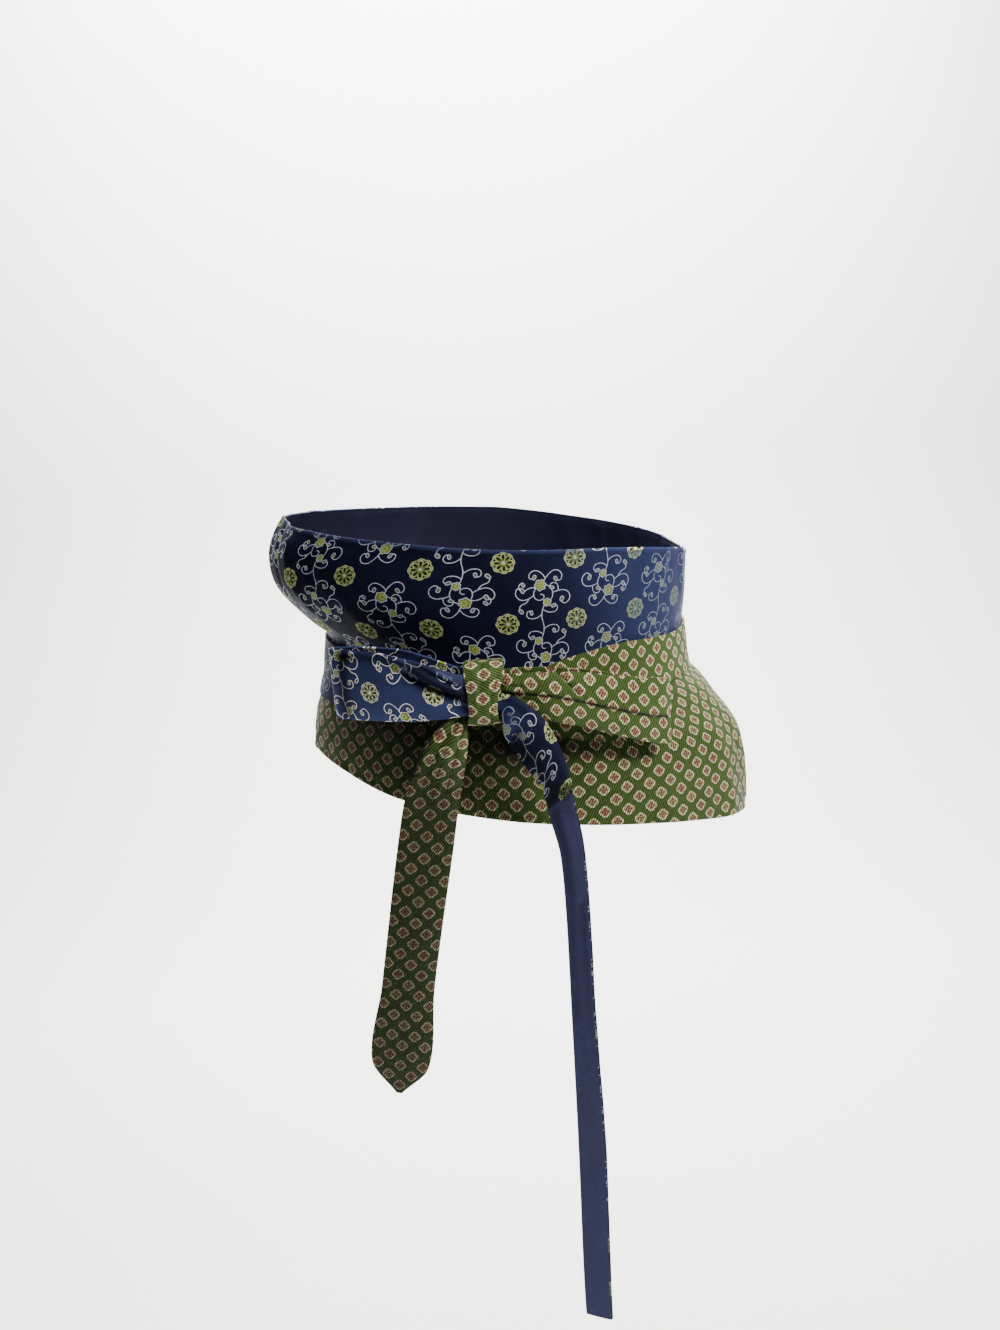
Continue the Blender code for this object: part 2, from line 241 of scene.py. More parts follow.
# The navy tail, folded lengthwise: its open edges, its folded edge, depth and the fold's opening
Crease = namedtuple("Crease", "along open_x open_z fold_x fold_z y opening")
NAVY_TAIL = (
    Crease(0.00, -12.5, -16.0, -12.0, -7.8, -124.3, 1.9),
    Crease(0.04, -8.4, -18.0, -4.5, -8.0, -124.4, 2.0),
    Crease(0.08, -7.6, -31.5, 5.0, -13.0, -127.0, 4.5),
    Crease(0.13, -0.5, -44.0, 15.2, -23.0, -128.0, 7.5),
    Crease(0.18, 6.5, -56.0, 21.8, -36.0, -127.8, 8.5),
    Crease(0.23, 12.5, -68.0, 27.4, -54.0, -126.6, 7.0),
    Crease(0.29, 16.0, -88.0, 31.0, -78.0, -124.8, 4.4),
    Crease(0.36, 20.8, -114.0, 35.0, -108.0, -123.0, 2.8),
    Crease(0.46, 22.0, -157.0, 36.6, -153.0, -121.5, 2.3),
    Crease(0.60, 21.2, -232.0, 36.4, -230.0, -120.5, 2.3),
    Crease(0.78, 19.8, -332.0, 37.8, -331.0, -120.5, 2.3),
    Crease(0.92, 17.6, -428.0, 36.0, -430.0, -120.5, 2.3),
    Crease(1.00, 17.2, -468.0, 35.2, -475.5, -120.5, 2.3),
)

# The wrap's rows lie closer together towards the waist, where the ties hold it in
ROW_SPREAD = 1.6

# How a piece's grid is laid out: even columns and rows, and extra rows along the long edges
Weave = namedtuple("Weave", "columns rows low_hem high_hem")
PANEL_WEAVE = Weave(330, 34, 0.0, 0.06)
LOWER_WEAVE = Weave(330, 34, 0.06, 0.0)
TIE_WEAVE = Weave(190, 22, 0.06, 0.06)
KNOT_WEAVE = Weave(140, 44, 0.05, 0.05)
LOOP_WEAVE = Weave(250, 66, 0.04, 0.04)
GREEN_TAIL_WEAVE = Weave(200, 34, 0.04, 0.04)
NAVY_TAIL_WEAVE = Weave(260, 40, 0.03, 0.03)
HEM_STEPS = (0.12, 0.35, 0.7)

# Creases on a piece: from one place to another in shares of its length and width,
# with half width, height at both ends (+ ridge, - trough) in millimetres
Line = namedtuple("Line", "u v to_u to_v half_width height to_height")
NAVY_PANEL_LINES = (
    Line(0.262, 0.97, 0.300, 0.34, 5.0, 2.2, 0.5),
    Line(0.292, 0.98, 0.322, 0.40, 3.4, -1.8, -0.4),
    Line(0.322, 0.90, 0.352, 0.28, 4.2, 1.7, 0.6),
    Line(0.345, 0.97, 0.372, 0.52, 3.4, -1.2, -0.2),
    Line(0.385, 0.60, 0.402, 0.24, 5.0, 0.9, 0.6),
    Line(0.430, 0.96, 0.434, 0.52, 7.0, -0.6, -0.2),
    Line(0.556, 0.95, 0.545, 0.35, 9.0, 0.6, 0.2),
    Line(0.618, 0.97, 0.598, 0.36, 5.0, -0.9, -0.3),
    Line(0.652, 0.98, 0.640, 0.50, 3.6, 1.0, 0.3),
    Line(0.690, 0.95, 0.700, 0.35, 5.0, 1.4, 0.5),
    Line(0.730, 0.97, 0.722, 0.48, 3.6, -1.3, -0.3),
    Line(0.775, 0.90, 0.760, 0.30, 6.0, -1.4, -0.4),
    Line(0.812, 0.98, 0.806, 0.55, 3.4, 1.2, 0.3),
    Line(0.850, 0.96, 0.840, 0.40, 5.0, 1.7, 0.3),
    Line(0.893, 0.94, 0.884, 0.50, 3.4, -1.2, -0.3),
    Line(0.930, 0.90, 0.915, 0.30, 6.0, -1.3, -0.5),
    Line(0.060, 0.95, 0.075, 0.35, 6.0, 1.5, 0.3),
    Line(0.092, 0.97, 0.096, 0.58, 3.4, -1.0, -0.3),
    Line(0.125, 0.92, 0.120, 0.45, 5.0, -1.5, -0.3),
    Line(0.158, 0.96, 0.164, 0.50, 3.6, 1.1, 0.3),
    Line(0.190, 0.96, 0.200, 0.30, 6.0, 1.6, 0.4),
    Line(0.226, 0.97, 0.236, 0.46, 3.6, -1.4, -0.4),
)
GREEN_PANEL_LINES = (
    Line(0.288, 0.05, 0.318, 0.60, 5.0, 1.5, 0.4),
    Line(0.322, 0.08, 0.346, 0.50, 3.6, -1.2, -0.3),
    Line(0.355, 0.08, 0.380, 0.55, 5.0, -0.9, -0.3),
    Line(0.455, 0.10, 0.460, 0.60, 6.0, 0.7, 0.3),
    Line(0.535, 0.06, 0.525, 0.65, 7.0, -0.7, -0.3),
    Line(0.600, 0.05, 0.590, 0.60, 7.0, 0.8, 0.2),
    Line(0.648, 0.06, 0.632, 0.56, 4.0, -0.8, -0.3),
    Line(0.668, 0.05, 0.654, 0.70, 4.4, 1.2, 0.5),
    Line(0.700, 0.08, 0.682, 0.70, 3.6, -1.4, -0.6),
    Line(0.722, 0.06, 0.704, 0.62, 3.6, 1.5, 0.5),
    Line(0.755, 0.05, 0.745, 0.60, 5.0, -1.6, -0.4),
    Line(0.796, 0.07, 0.792, 0.48, 3.6, 1.2, 0.4),
    Line(0.835, 0.05, 0.850, 0.65, 5.0, 1.6, 0.4),
    Line(0.868, 0.06, 0.876, 0.44, 3.4, -1.2, -0.3),
    Line(0.900, 0.08, 0.905, 0.60, 5.0, -1.4, -0.4),
    Line(0.948, 0.05, 0.944, 0.50, 4.0, 1.1, 0.3),
    Line(0.050, 0.05, 0.045, 0.65, 6.0, 1.5, 0.3),
    Line(0.084, 0.07, 0.090, 0.46, 3.6, -1.1, -0.3),
    Line(0.115, 0.08, 0.130, 0.60, 5.0, -1.3, -0.3),
    Line(0.152, 0.05, 0.158, 0.50, 4.0, 1.2, 0.3),
    Line(0.185, 0.05, 0.180, 0.60, 6.0, 1.4, 0.4),
    Line(0.240, 0.07, 0.260, 0.55, 4.0, -1.4, -0.4),
)
NAVY_TIE_LINES = (
    Line(1.00, 0.62, 0.86, 0.80, 2.6, 0.7, 0.1),
    Line(1.00, 0.40, 0.88, 0.30, 2.4, 0.6, 0.1),
    Line(0.97, 0.52, 0.80, 0.55, 2.8, -0.5, -0.1),
    Line(0.70, 0.70, 0.52, 0.62, 3.2, 0.4, 0.1),
    Line(0.48, 0.30, 0.30, 0.42, 3.0, -0.4, -0.1),
    Line(0.24, 0.66, 0.06, 0.58, 3.0, 0.4, 0.2),
    Line(0.15, 0.30, 0.00, 0.44, 2.6, -0.4, -0.2),
)
GREEN_TIE_LINES = (
    Line(0.00, 0.55, 0.16, 0.80, 2.4, 0.6, 0.1),
    Line(0.02, 0.40, 0.20, 0.45, 2.6, -0.5, -0.1),
    Line(0.06, 0.25, 0.24, 0.18, 2.4, 0.5, 0.1),
    Line(0.26, 0.72, 0.38, 0.60, 3.0, -0.4, -0.1),
    Line(0.34, 0.95, 0.43, 0.62, 2.6, 0.5, 0.1),
    Line(0.46, 0.35, 0.62, 0.45, 3.0, -0.4, -0.1),
    Line(0.60, 0.70, 0.78, 0.60, 3.2, 0.5, 0.1),
    Line(0.80, 0.36, 0.97, 0.48, 2.8, -0.4, -0.2),
)
KNOT_LINES = (
    Line(0.01, 0.20, 0.44, 0.36, 2.2, 0.6, 0.5),
    Line(0.04, 0.46, 0.30, 0.40, 1.0, -0.5, -0.2),
    Line(0.02, 0.66, 0.48, 0.58, 2.0, 0.6, 0.6),
    Line(0.16, 0.84, 0.40, 0.74, 1.0, -0.6, -0.5),
    Line(0.52, 0.35, 0.96, 0.40, 1.6, 0.3, 0.3),
)
NAVY_LOOP_LINES = (
    Line(0.14, 0.86, 0.27, 0.99, 1.2, 1.3, 0.5),
    Line(0.13, 0.77, 0.22, 0.88, 1.2, -1.0, -0.4),
    Line(0.10, 0.40, 0.24, 0.26, 2.4, 0.9, 0.1),
    Line(0.09, 0.24, 0.20, 0.16, 1.6, -0.8, -0.1),
    Line(0.09, 0.08, 0.20, 0.06, 1.6, 0.6, 0.1),
    Line(0.30, 0.60, 0.42, 0.48, 5.0, 0.7, 0.2),
    Line(0.60, 0.40, 0.85, 0.50, 3.5, 0.7, 0.9),
    Line(0.66, 0.78, 0.93, 0.70, 2.6, -0.7, -0.9),
)
GREEN_LOOP_LINES = (
    Line(0.07, 0.80, 0.20, 0.76, 1.8, 0.8, 0.1),
    Line(0.07, 0.66, 0.19, 0.67, 1.2, -0.7, -0.1),
    Line(0.244, 1.00, 0.300, 0.61, 0.8, -1.2, -0.8),
    Line(0.265, 1.00, 0.325, 0.60, 1.8, 0.8, 0.4),
    Line(0.06, 0.24, 0.19, 0.16, 2.0, 0.8, 0.1),
    Line(0.07, 0.36, 0.26, 0.30, 1.4, -0.6, -0.1),
    Line(0.30, 0.26, 0.45, 0.22, 4.0, 0.5, 0.2),
    Line(0.60, 0.45, 0.86, 0.55, 3.5, 0.7, 0.9),
    Line(0.66, 0.20, 0.93, 0.34, 2.8, -0.7, -0.9),
)
GREEN_TAIL_LINES = (
    Line(0.05, 0.16, 0.24, 0.10, 1.5, 1.0, 0.2),
    Line(0.06, 0.36, 0.28, 0.30, 1.3, -1.2, -0.2),
    Line(0.05, 0.56, 0.34, 0.56, 1.9, 1.6, 0.3),
    Line(0.07, 0.74, 0.30, 0.74, 1.2, -1.1, -0.2),
    Line(0.06, 0.90, 0.24, 0.90, 1.3, 0.9, 0.1),
    Line(0.30, 0.30, 0.44, 0.50, 4.5, -0.4, -0.1),
    Line(0.52, 0.70, 0.66, 0.55, 5.0, 0.4, 0.1),
    Line(0.74, 0.30, 0.88, 0.40, 5.0, -0.4, -0.1),
)
NAVY_TAIL_LINES = (
    Line(0.06, 0.30, 0.24, 0.36, 2.2, 0.8, 0.3),
    Line(0.10, 0.16, 0.26, 0.22, 1.6, -0.9, -0.3),
    Line(0.30, 0.18, 0.44, 0.30, 2.6, 0.6, 0.2),
    Line(0.44, 0.34, 0.58, 0.22, 3.0, -0.4, -0.1),
    Line(0.62, 0.24, 0.76, 0.32, 3.0, 0.4, 0.1),
    Line(0.78, 0.16, 0.92, 0.28, 2.6, -0.4, -0.2),
    Line(0.20, 0.80, 0.45, 0.72, 2.6, 0.5, 0.2),
)

# Painted shade: places that folds and the bow's cast shadow keep dark, and parts painted darker all over,
# laid out like the creases, with shares of darkness as heights
GREEN_PANEL_DARK = (
    Line(0.350, 0.52, 0.510, 0.45, 24.0, 0.55, 0.62),
    Line(0.505, 0.56, 0.590, 0.52, 4.0, 0.80, 0.70),
    Line(0.500, 0.40, 0.540, 0.36, 12.0, 0.30, 0.10),
    Line(0.280, 0.20, 0.430, 0.15, 22.0, 0.26, 0.22),
)
KNOT_DARK = (
    Line(0.40, 0.50, 0.50, 0.50, 6.0, 0.25, 0.80),
    Line(0.05, 0.45, 0.30, 0.40, 0.7, 0.45, 0.20),
    Line(0.18, 0.83, 0.40, 0.74, 0.7, 0.50, 0.30),
)
NAVY_LOOP_DARK = (
    Line(0.08, 0.40, 0.28, 0.74, 3.8, 0.97, 0.75),
    Line(0.08, 0.10, 0.14, 0.30, 3.0, 0.70, 0.20),
    Line(0.12, 0.76, 0.22, 0.88, 1.0, 0.70, 0.50),
    Line(0.20, 0.93, 0.44, 0.90, 2.6, 0.55, 0.70),
    Line(0.455, 0.10, 0.455, 0.90, 3.0, 0.70, 0.80),
)
GREEN_LOOP_DARK = (
    Line(0.065, 0.44, 0.12, 0.475, 1.3, 0.95, 0.95),
    Line(0.12, 0.475, 0.22, 0.54, 1.3, 0.95, 0.95),
    Line(0.22, 0.54, 0.34, 0.475, 1.3, 0.95, 0.95),
    Line(0.34, 0.475, 0.48, 0.43, 1.3, 0.95, 0.90),
    Line(0.244, 0.99, 0.300, 0.61, 0.5, 0.85, 0.75),
    Line(0.60, 0.50, 0.90, 0.50, 13.0, 0.60, 0.80),
)
GREEN_TAIL_DARK = (
    Line(0.05, 0.02, 0.26, 0.02, 2.2, 0.75, 0.45),
    Line(0.00, 0.50, 0.09, 0.50, 11.0, 0.70, 0.30),
    Line(0.06, 0.36, 0.28, 0.30, 0.9, 0.60, 0.20),
    Line(0.07, 0.74, 0.30, 0.74, 0.9, 0.50, 0.20),
    Line(0.34, 0.50, 1.00, 0.50, 50.0, 0.74, 0.74),
)
NAVY_TAIL_DARK = (
    Line(0.30, 0.44, 1.00, 0.45, 1.3, 0.85, 0.75),
    Line(0.45, 0.22, 0.70, 0.30, 3.0, 0.30, 0.10),
    Line(0.255, 0.10, 0.285, 0.90, 5.0, 0.85, 0.75),
    Line(0.10, 0.04, 0.24, 0.08, 3.0, 0.90, 0.60),
    Line(0.28, 0.06, 0.60, 0.06, 2.0, 0.45, 0.25),
)

# Length and width, in millimetres, of the grids that the tables of painted shade are laid out on
Spread = namedtuple("Spread", "length width")
GREEN_PANEL_SPREAD = Spread(880, 100)
KNOT_SPREAD = Spread(115, 21)
NAVY_LOOP_SPREAD = Spread(195, 38)
GREEN_LOOP_SPREAD = Spread(235, 40)
GREEN_TAIL_SPREAD = Spread(280, 33)
NAVY_TAIL_SPREAD = Spread(470, 34)

# Where a piece's pattern lies: a figure's middle in shares of its length and width, and its turn
Lie = namedtuple("Lie", "u v turn")
NAVY_PANEL_LIE = Lie(0.500, 0.620, 0.0)
GREEN_PANEL_LIE = Lie(0.600, 0.300, 0.0)
NAVY_TIE_LIE = Lie(0.900, 0.500, -8.0)
GREEN_TIE_LIE = Lie(0.200, 0.550, 0.0)
KNOT_LIE = Lie(0.250, 0.500, 0.0)
NAVY_LOOP_LIE = Lie(0.205, 0.500, 176.0)
GREEN_LOOP_LIE = Lie(0.300, 0.700, 0.0)
GREEN_TAIL_LIE = Lie(0.300, 0.500, 90.0)
NAVY_TAIL_LIE = Lie(0.022, 0.780, 84.0)

# The plain reverse of the navy tail starts this far down and leaves an edge of this width
REVERSE_START = 0.27
REVERSE_EDGE = 1.5
NAVY_TAIL_LENGTH = 480.0

# The brocade's repeat: rosettes at its corners and a scrolling vine between them
ROSETTE_STEP = (42.0, 38.0)
ROSETTE_RADIUS = 6.7
VINE_HALF_WIDTH = 0.25
# Each branch starts at a share of an earlier arc and veers from it, then follows arcs that are
# given as radius and sweep, with + to the left. The stem ends in the middle of the cell's lower
# edge, where it meets the next cell's stem.
Branch = namedtuple("Branch", "parent share veer arcs")
VINE_START = (2.2, -7.2, 12.0)
VINE = (
    Branch(None, 0.0, 0, ((5.7, 270), (3.3, 120), (1.6, 160))),
    Branch(0, 0.0, -139.6, ((13.2, 54),)),
    Branch(3, 0.34, 58, ((6.6, 66), (3.0, 60), (1.6, 140))),
    Branch(3, 0.60, -34, ((7.0, -66), (2.6, -120), (1.3, -140))),
    Branch(0, 0.97, -52, ((10.5, -36), (4.4, -120), (2.0, -170))),
    Branch(0, 0.30, -66, ((11.5, -34), (4.2, -150), (1.9, -170))),
    Branch(0, 0.62, -104, ((13.0, -44), (3.8, -150), (1.8, -160))),
    Branch(16, 0.40, 50, ((8.0, 50), (3.6, 110), (1.6, 170))),
    Branch(10, 0.55, 48, ((5.2, -58), (2.6, 150))),
    Branch(13, 0.50, 62, ((5.0, 44), (2.4, 120), (1.2, 120))),
    Branch(0, 0.80, -70, ((6.0, 60), (2.6, -170), (1.2, -120))),
)
# A blossom or a leaf sits at a share of an arc of the vine
Bud = namedtuple("Bud", "arc share radius")
BLOSSOMS = (Bud(0, 0.66, 3.4), Bud(0, 0.02, 2.5))
# Waves of their edges: how many lobes and how deep, then how many tips and how deep
BLOSSOM_EDGE = (6.0, 0.09, 1.0, 0.16)
LEAF_EDGE = (2.0, 0.22, 1.0, 0.1)
# Width of the outlines round blossoms, leaves and rosettes
FIGURE_OUTLINE = 0.45
HALF_CELL = (0.5, 0.5, 0.0)
LEAVES = (
    Bud(6, 0.9, 1.4),
    Bud(9, 0.9, 1.3),
    Bud(12, 0.8, 1.5),
    Bud(15, 0.8, 1.5),
    Bud(18, 0.8, 1.4),
    Bud(21, 0.9, 1.4),
    Bud(23, 0.8, 1.5),
    Bud(26, 0.9, 1.3),
    Bud(29, 0.9, 1.3),
)

# The foulard's repeat: medallions of four lobes on a square lattice that lies at 45 degrees
MEDALLION_STEP = 10.4
LOBE_OFFSET = 1.1
LOBE_RADIUS = 2.25
LOBE_OUTLINE = 0.78
LOBE_HEART = 0.52
MEDALLION_HEART = 0.55
RIB_STEP = 1.45

# The photograph's frame and the camera that takes it
IMAGE_SIZE = (1000, 1330)
SENSOR = 36.0
FOCAL_PIXELS = 999.0
CAMERA_PLACE = (-7.0, -690.0, 158.0)
CAMERA_PITCH = 14.6
CAMERA_ROLL = 4.6

# Soft lights: where they stand, how wide and how strong
Softbox = namedtuple("Softbox", "name place aim size power colour")
LIGHTS = (
    Softbox("key_softbox", (1150, -850, 1150), (40, -60, -40), 520, 68.0, "#fff8ef"),
    Softbox("fill_softbox", (-900, -1600, 700), (0, 0, -60), 1200, 1.4, "#eef3ff"),
    Softbox("top_softbox", (100, -300, 1500), (0, -60, 0), 700, 6.0, "#ffffff"),
    Softbox("backdrop_softbox", (0, 1300, 1500), (0, 2300, -300), 2400, 340.0, "#ffffff"),
)
FLOOR_HEIGHT = -1000.0


def read_table(rows, at, column):
    """A named column's value at a place between the rows, on a smooth curve through them."""
    keys = [row[0] for row in rows]
    values = [getattr(row, column) for row in rows]
    last = len(rows) - 1
    at = min(max(at, keys[0]), keys[last])
    index = 0
    while index < last - 1 and keys[index + 1] <= at:
        index += 1

    def slope(place):
        low = max(place - 1, 0)
        high = min(place + 1, last)
        return (values[high] - values[low]) / (keys[high] - keys[low])

    span = keys[index + 1] - keys[index]
    t = (at - keys[index]) / span
    start = values[index] * (1 + 2 * t) * (1 - t) ** 2
    end = values[index + 1] * t ** 2 * (3 - 2 * t)
    leave = slope(index) * span * t * (1 - t) ** 2
    arrive = slope(index + 1) * span * t ** 2 * (t - 1)
    return start + end + leave + arrive


def edge_height(turn, column):
    """Height of the wrap's top edge, waist seam or bottom edge at a turn, in metres."""
    return read_table(EDGES, turn, column) * MM


def fold_height(turn, share, half):
    """How far the folds of one half of the wrap stand out at a turn and a share of its height."""
    height = 0.0
    for fold in FOLDS:
        if fold.half == half:
            away = (turn - fold.turn) / fold.spread
            height += fold.height * math.exp(-away * away)
    return height * MM * share ** 2


def wrap_point(turn, height, out=0.0):
    """A point of the wrap's outer face, moved straight out from the body by a distance."""
    seam = edge_height(turn, "seam")
    half = 1 if height >= seam else -1
    edge = edge_height(turn, "top" if half > 0 else "bottom")
    form = UPPER_FORM if half > 0 else LOWER_FORM
    share = (height - seam) / (edge - seam)
    angle = math.radians(turn)
    side = read_table(form, share, "left" if turn > 0 else "right") * MM
    end = read_table(form, share, "front" if math.cos(angle) > 0 else "back") * MM
    outward = Vector((math.sin(angle) / side, -math.cos(angle) / end, 0.0)).normalized()
    surface = Vector((side * math.sin(angle), -end * math.cos(angle), height))
    return surface + outward * (out + fold_height(turn, share, half))


def upper_panel_point(u, v):
    """A point of the navy panel: u runs once round the body and v up from the waist seam."""
    turn = -180 + 360 * u
    low = edge_height(turn, "seam") + SEAM_GAP / 2
    return wrap_point(turn, low + v ** ROW_SPREAD * (edge_height(turn, "top") - low))


def lower_panel_point(u, v):
    """A point of the green panel: u runs once round the body and v up to the waist seam."""
    turn = -180 + 360 * u
    low = edge_height(turn, "bottom")
    high = edge_height(turn, "seam") - SEAM_GAP / 2
    return wrap_point(turn, high + (1 - v) ** ROW_SPREAD * (low - high))


def tie_point(rows, side, u, v):
    """A point of a waist tie's outer face, which lies on the wrap from the knot to the back."""
    ends_gap = 0.1
    away = ends_gap + u * (rows[-1].turn - 2 * ends_gap)
    middle = read_table(rows, away, "middle") * MM
    half_width = read_table(rows, away, "half_width") * MM
    out = TIE_GAP + WALL
    return wrap_point(KNOT_TURN + side * away, middle + (2 * v - 1) * half_width, out)


def navy_tie_point(u, v):
    """The tie on the wearer's right runs from the back to the knot, so that its face points out."""
    return tie_point(NAVY_TIE, -1, 1 - u, v)


def green_tie_point(u, v):
    """The tie on the wearer's left runs from the knot to the back."""
    return tie_point(GREEN_TIE, 1, u, v)


def rounded(value):
    """A sine or cosine pushed outwards, which turns an ellipse into a rounded rectangle."""
    return math.copysign(abs(value) ** KNOT_SQUARENESS, value)


def knot_point(u, v):
    """A point of the knot's outer face: u runs over the top and down the front, v from right to left."""
    angle = math.radians(360 * u)
    tie_face = wrap_point(KNOT_TOUCH_TURN, KNOT_MIDDLE_HEIGHT * MM, TIE_GAP + WALL).y
    front = KNOT_FRONT * MM
    back = tie_face - LAYER_GAP
    middle_y = (front + back) / 2
    half_depth = (back - front) / 2
    x = read_table(KNOT, 360 * u, "middle") + (2 * v - 1) * read_table(KNOT, 360 * u, "half_width")
    falls_away = KNOT_CROWN * MM * (2 * v - 1) ** 2 * max(math.sin(angle), 0)
    y = middle_y - rounded(math.sin(angle)) * (half_depth - falls_away)
    z = (KNOT_MIDDLE_HEIGHT + rounded(math.cos(angle)) * KNOT_HALF_HEIGHT) * MM
    return Vector((x * MM, y, z))


def loop_point(rows, u, v):
    """A point in the middle of a bow loop's cloth: u along the strip, v from its bottom to its top."""
    bottom = read_table(rows, u, "bottom")
    top = read_table(rows, u, "top")
    crown = read_table(rows, u, "crown") * (1 - (2 * v - 1) ** 2)
    x = read_table(rows, u, "x")
    y = read_table(rows, u, "y") - crown
    return Vector((x, y, bottom + v * (top - bottom))) * MM


def navy_pleat_row(u):
    """Where the navy loop's rolled pleat runs across its width on the way from the knot."""
    return 0.56 + 1.85 * (u - 0.09)


def navy_loop_point(u, v):
    """The navy loop, whose front layer is rolled into a pleat that runs from its top to the knot."""
    near_knot = min(1.0, max(0.0, (u - 0.075) / 0.04)) * min(1.0, max(0.0, (0.40 - u) / 0.14))
    away = v - navy_pleat_row(u)
    pleat = 3.4 * math.exp(-(away / 0.075) ** 2) - 1.5 * math.exp(-((away + 0.16) / 0.07) ** 2)
    return loop_point(NAVY_LOOP, u, v) + Vector((0, -pleat * near_knot * MM, 0))


def green_lap_row(u):
    """Where the edge of the green loop's upper flap runs across its width."""
    return read_table(GREEN_LAP, u, "v")


def green_loop_point(u, v):
    """The green loop, whose upper flap laps over its lower flap along the front layer."""
    lap_height = 1.5 * MM
    on_front = min(1.0, max(0.0, (0.487 - u) / 0.012)) * min(1.0, max(0.0, u - 0.055) / 0.03)
    away = (v - green_lap_row(u)) * LAP_STEEPNESS
    lap = lap_height * on_front / (1 + math.exp(-min(40.0, max(-40.0, away))))
    return loop_point(GREEN_LOOP, u, v) + Vector((0, -lap, 0))


def green_tail_point(u, v):
    """A point in the middle of the green tail's cloth, from its left edge to its right edge."""
    left = Vector((read_table(GREEN_TAIL, u, "left_x"), 0, read_table(GREEN_TAIL, u, "left_z")))
    right = Vector((read_table(GREEN_TAIL, u, "right_x"), 0, read_table(GREEN_TAIL, u, "right_z")))
    point = left.lerp(right, v)
    point.y = read_table(GREEN_TAIL, u, "y") - read_table(GREEN_TAIL, u, "cup") * (1 - (2 * v - 1) ** 2)
    return point * MM


def navy_tail_point(u, v):
    """A point of the navy tail, which runs from its front edge round the fold to its back edge."""
    across = 2 * v - 1
    share = across * across
    fold_reach = 0.4
    opened = math.sin(min(1.0, abs(across) / fold_reach) * math.pi / 2)
    opened = math.copysign(opened, across)
    edge = Vector((read_table(NAVY_TAIL, u, "open_x"), 0, read_table(NAVY_TAIL, u, "open_z")))
    fold = Vector((read_table(NAVY_TAIL, u, "fold_x"), 0, read_table(NAVY_TAIL, u, "fold_z")))
    point = fold.lerp(edge, share)
    point.y = read_table(NAVY_TAIL, u, "y") + opened * read_table(NAVY_TAIL, u, "opening") / 2
    return point * MM


def lines_height(lines, along, across, length, width):
    """Height of the listed creases at a place given in millimetres along and across a piece."""
    height = 0.0
    for line in lines:
        start_x = line.u * length
        start_y = line.v * width
        run_x = (line.to_u - line.u) * length
        run_y = (line.to_v - line.v) * width
        run = run_x * run_x + run_y * run_y
        share = ((along - start_x) * run_x + (across - start_y) * run_y) / run
        share = min(1.0, max(0.0, share))
        away_x = along - start_x - share * run_x
        away_y = across - start_y - share * run_y
        away = math.hypot(away_x, away_y) / line.half_width
        if away < 3.0:
            here = line.height + (line.to_height - line.height) * share
            height += here * math.exp(-away * away)
    return height


def hem_height(distance):
    """A turned hem: a soft roll along the edge and the shallow furrow where it ends."""
    roll = 0.34 * math.exp(-((distance - 1.5) / 1.3) ** 2)
    furrow = 0.22 * math.exp(-((distance - 4.6) / 0.9) ** 2)
    return roll - furrow


def ripple(along, across, size, seed):
    """A slow uneven waviness between -1 and 1 with a wave length in millimetres."""
    return noise.noise(Vector((along / size, across / size, seed)))


def grid_shares(count, low_hem, high_hem):
    """Even shares from 0 to 1 with closer ones inside the hems at both ends."""
    shares = [index / count for index in range(count + 1)]
    shares += [low_hem * step for step in HEM_STEPS if low_hem]
    shares += [1 - high_hem * step for step in HEM_STEPS if high_hem]
    return sorted(set(round(share, 6) for share in shares))


def measure_flat(points, start_row):
    """Length along one row and signed distances from it up and down each column, in metres."""
    along = [0.0]
    for index in range(1, len(points)):
        along.append(along[-1] + (points[index][start_row] - points[index - 1][start_row]).length)
    across = []
    for column in points:
        distances = [0.0] * len(column)
        for row in range(start_row + 1, len(column)):
            distances[row] = distances[row - 1] + (column[row] - column[row - 1]).length
        for row in range(start_row - 1, -1, -1):
            distances[row] = distances[row + 1] - (column[row + 1] - column[row]).length
        across.append(distances)
    return along, across


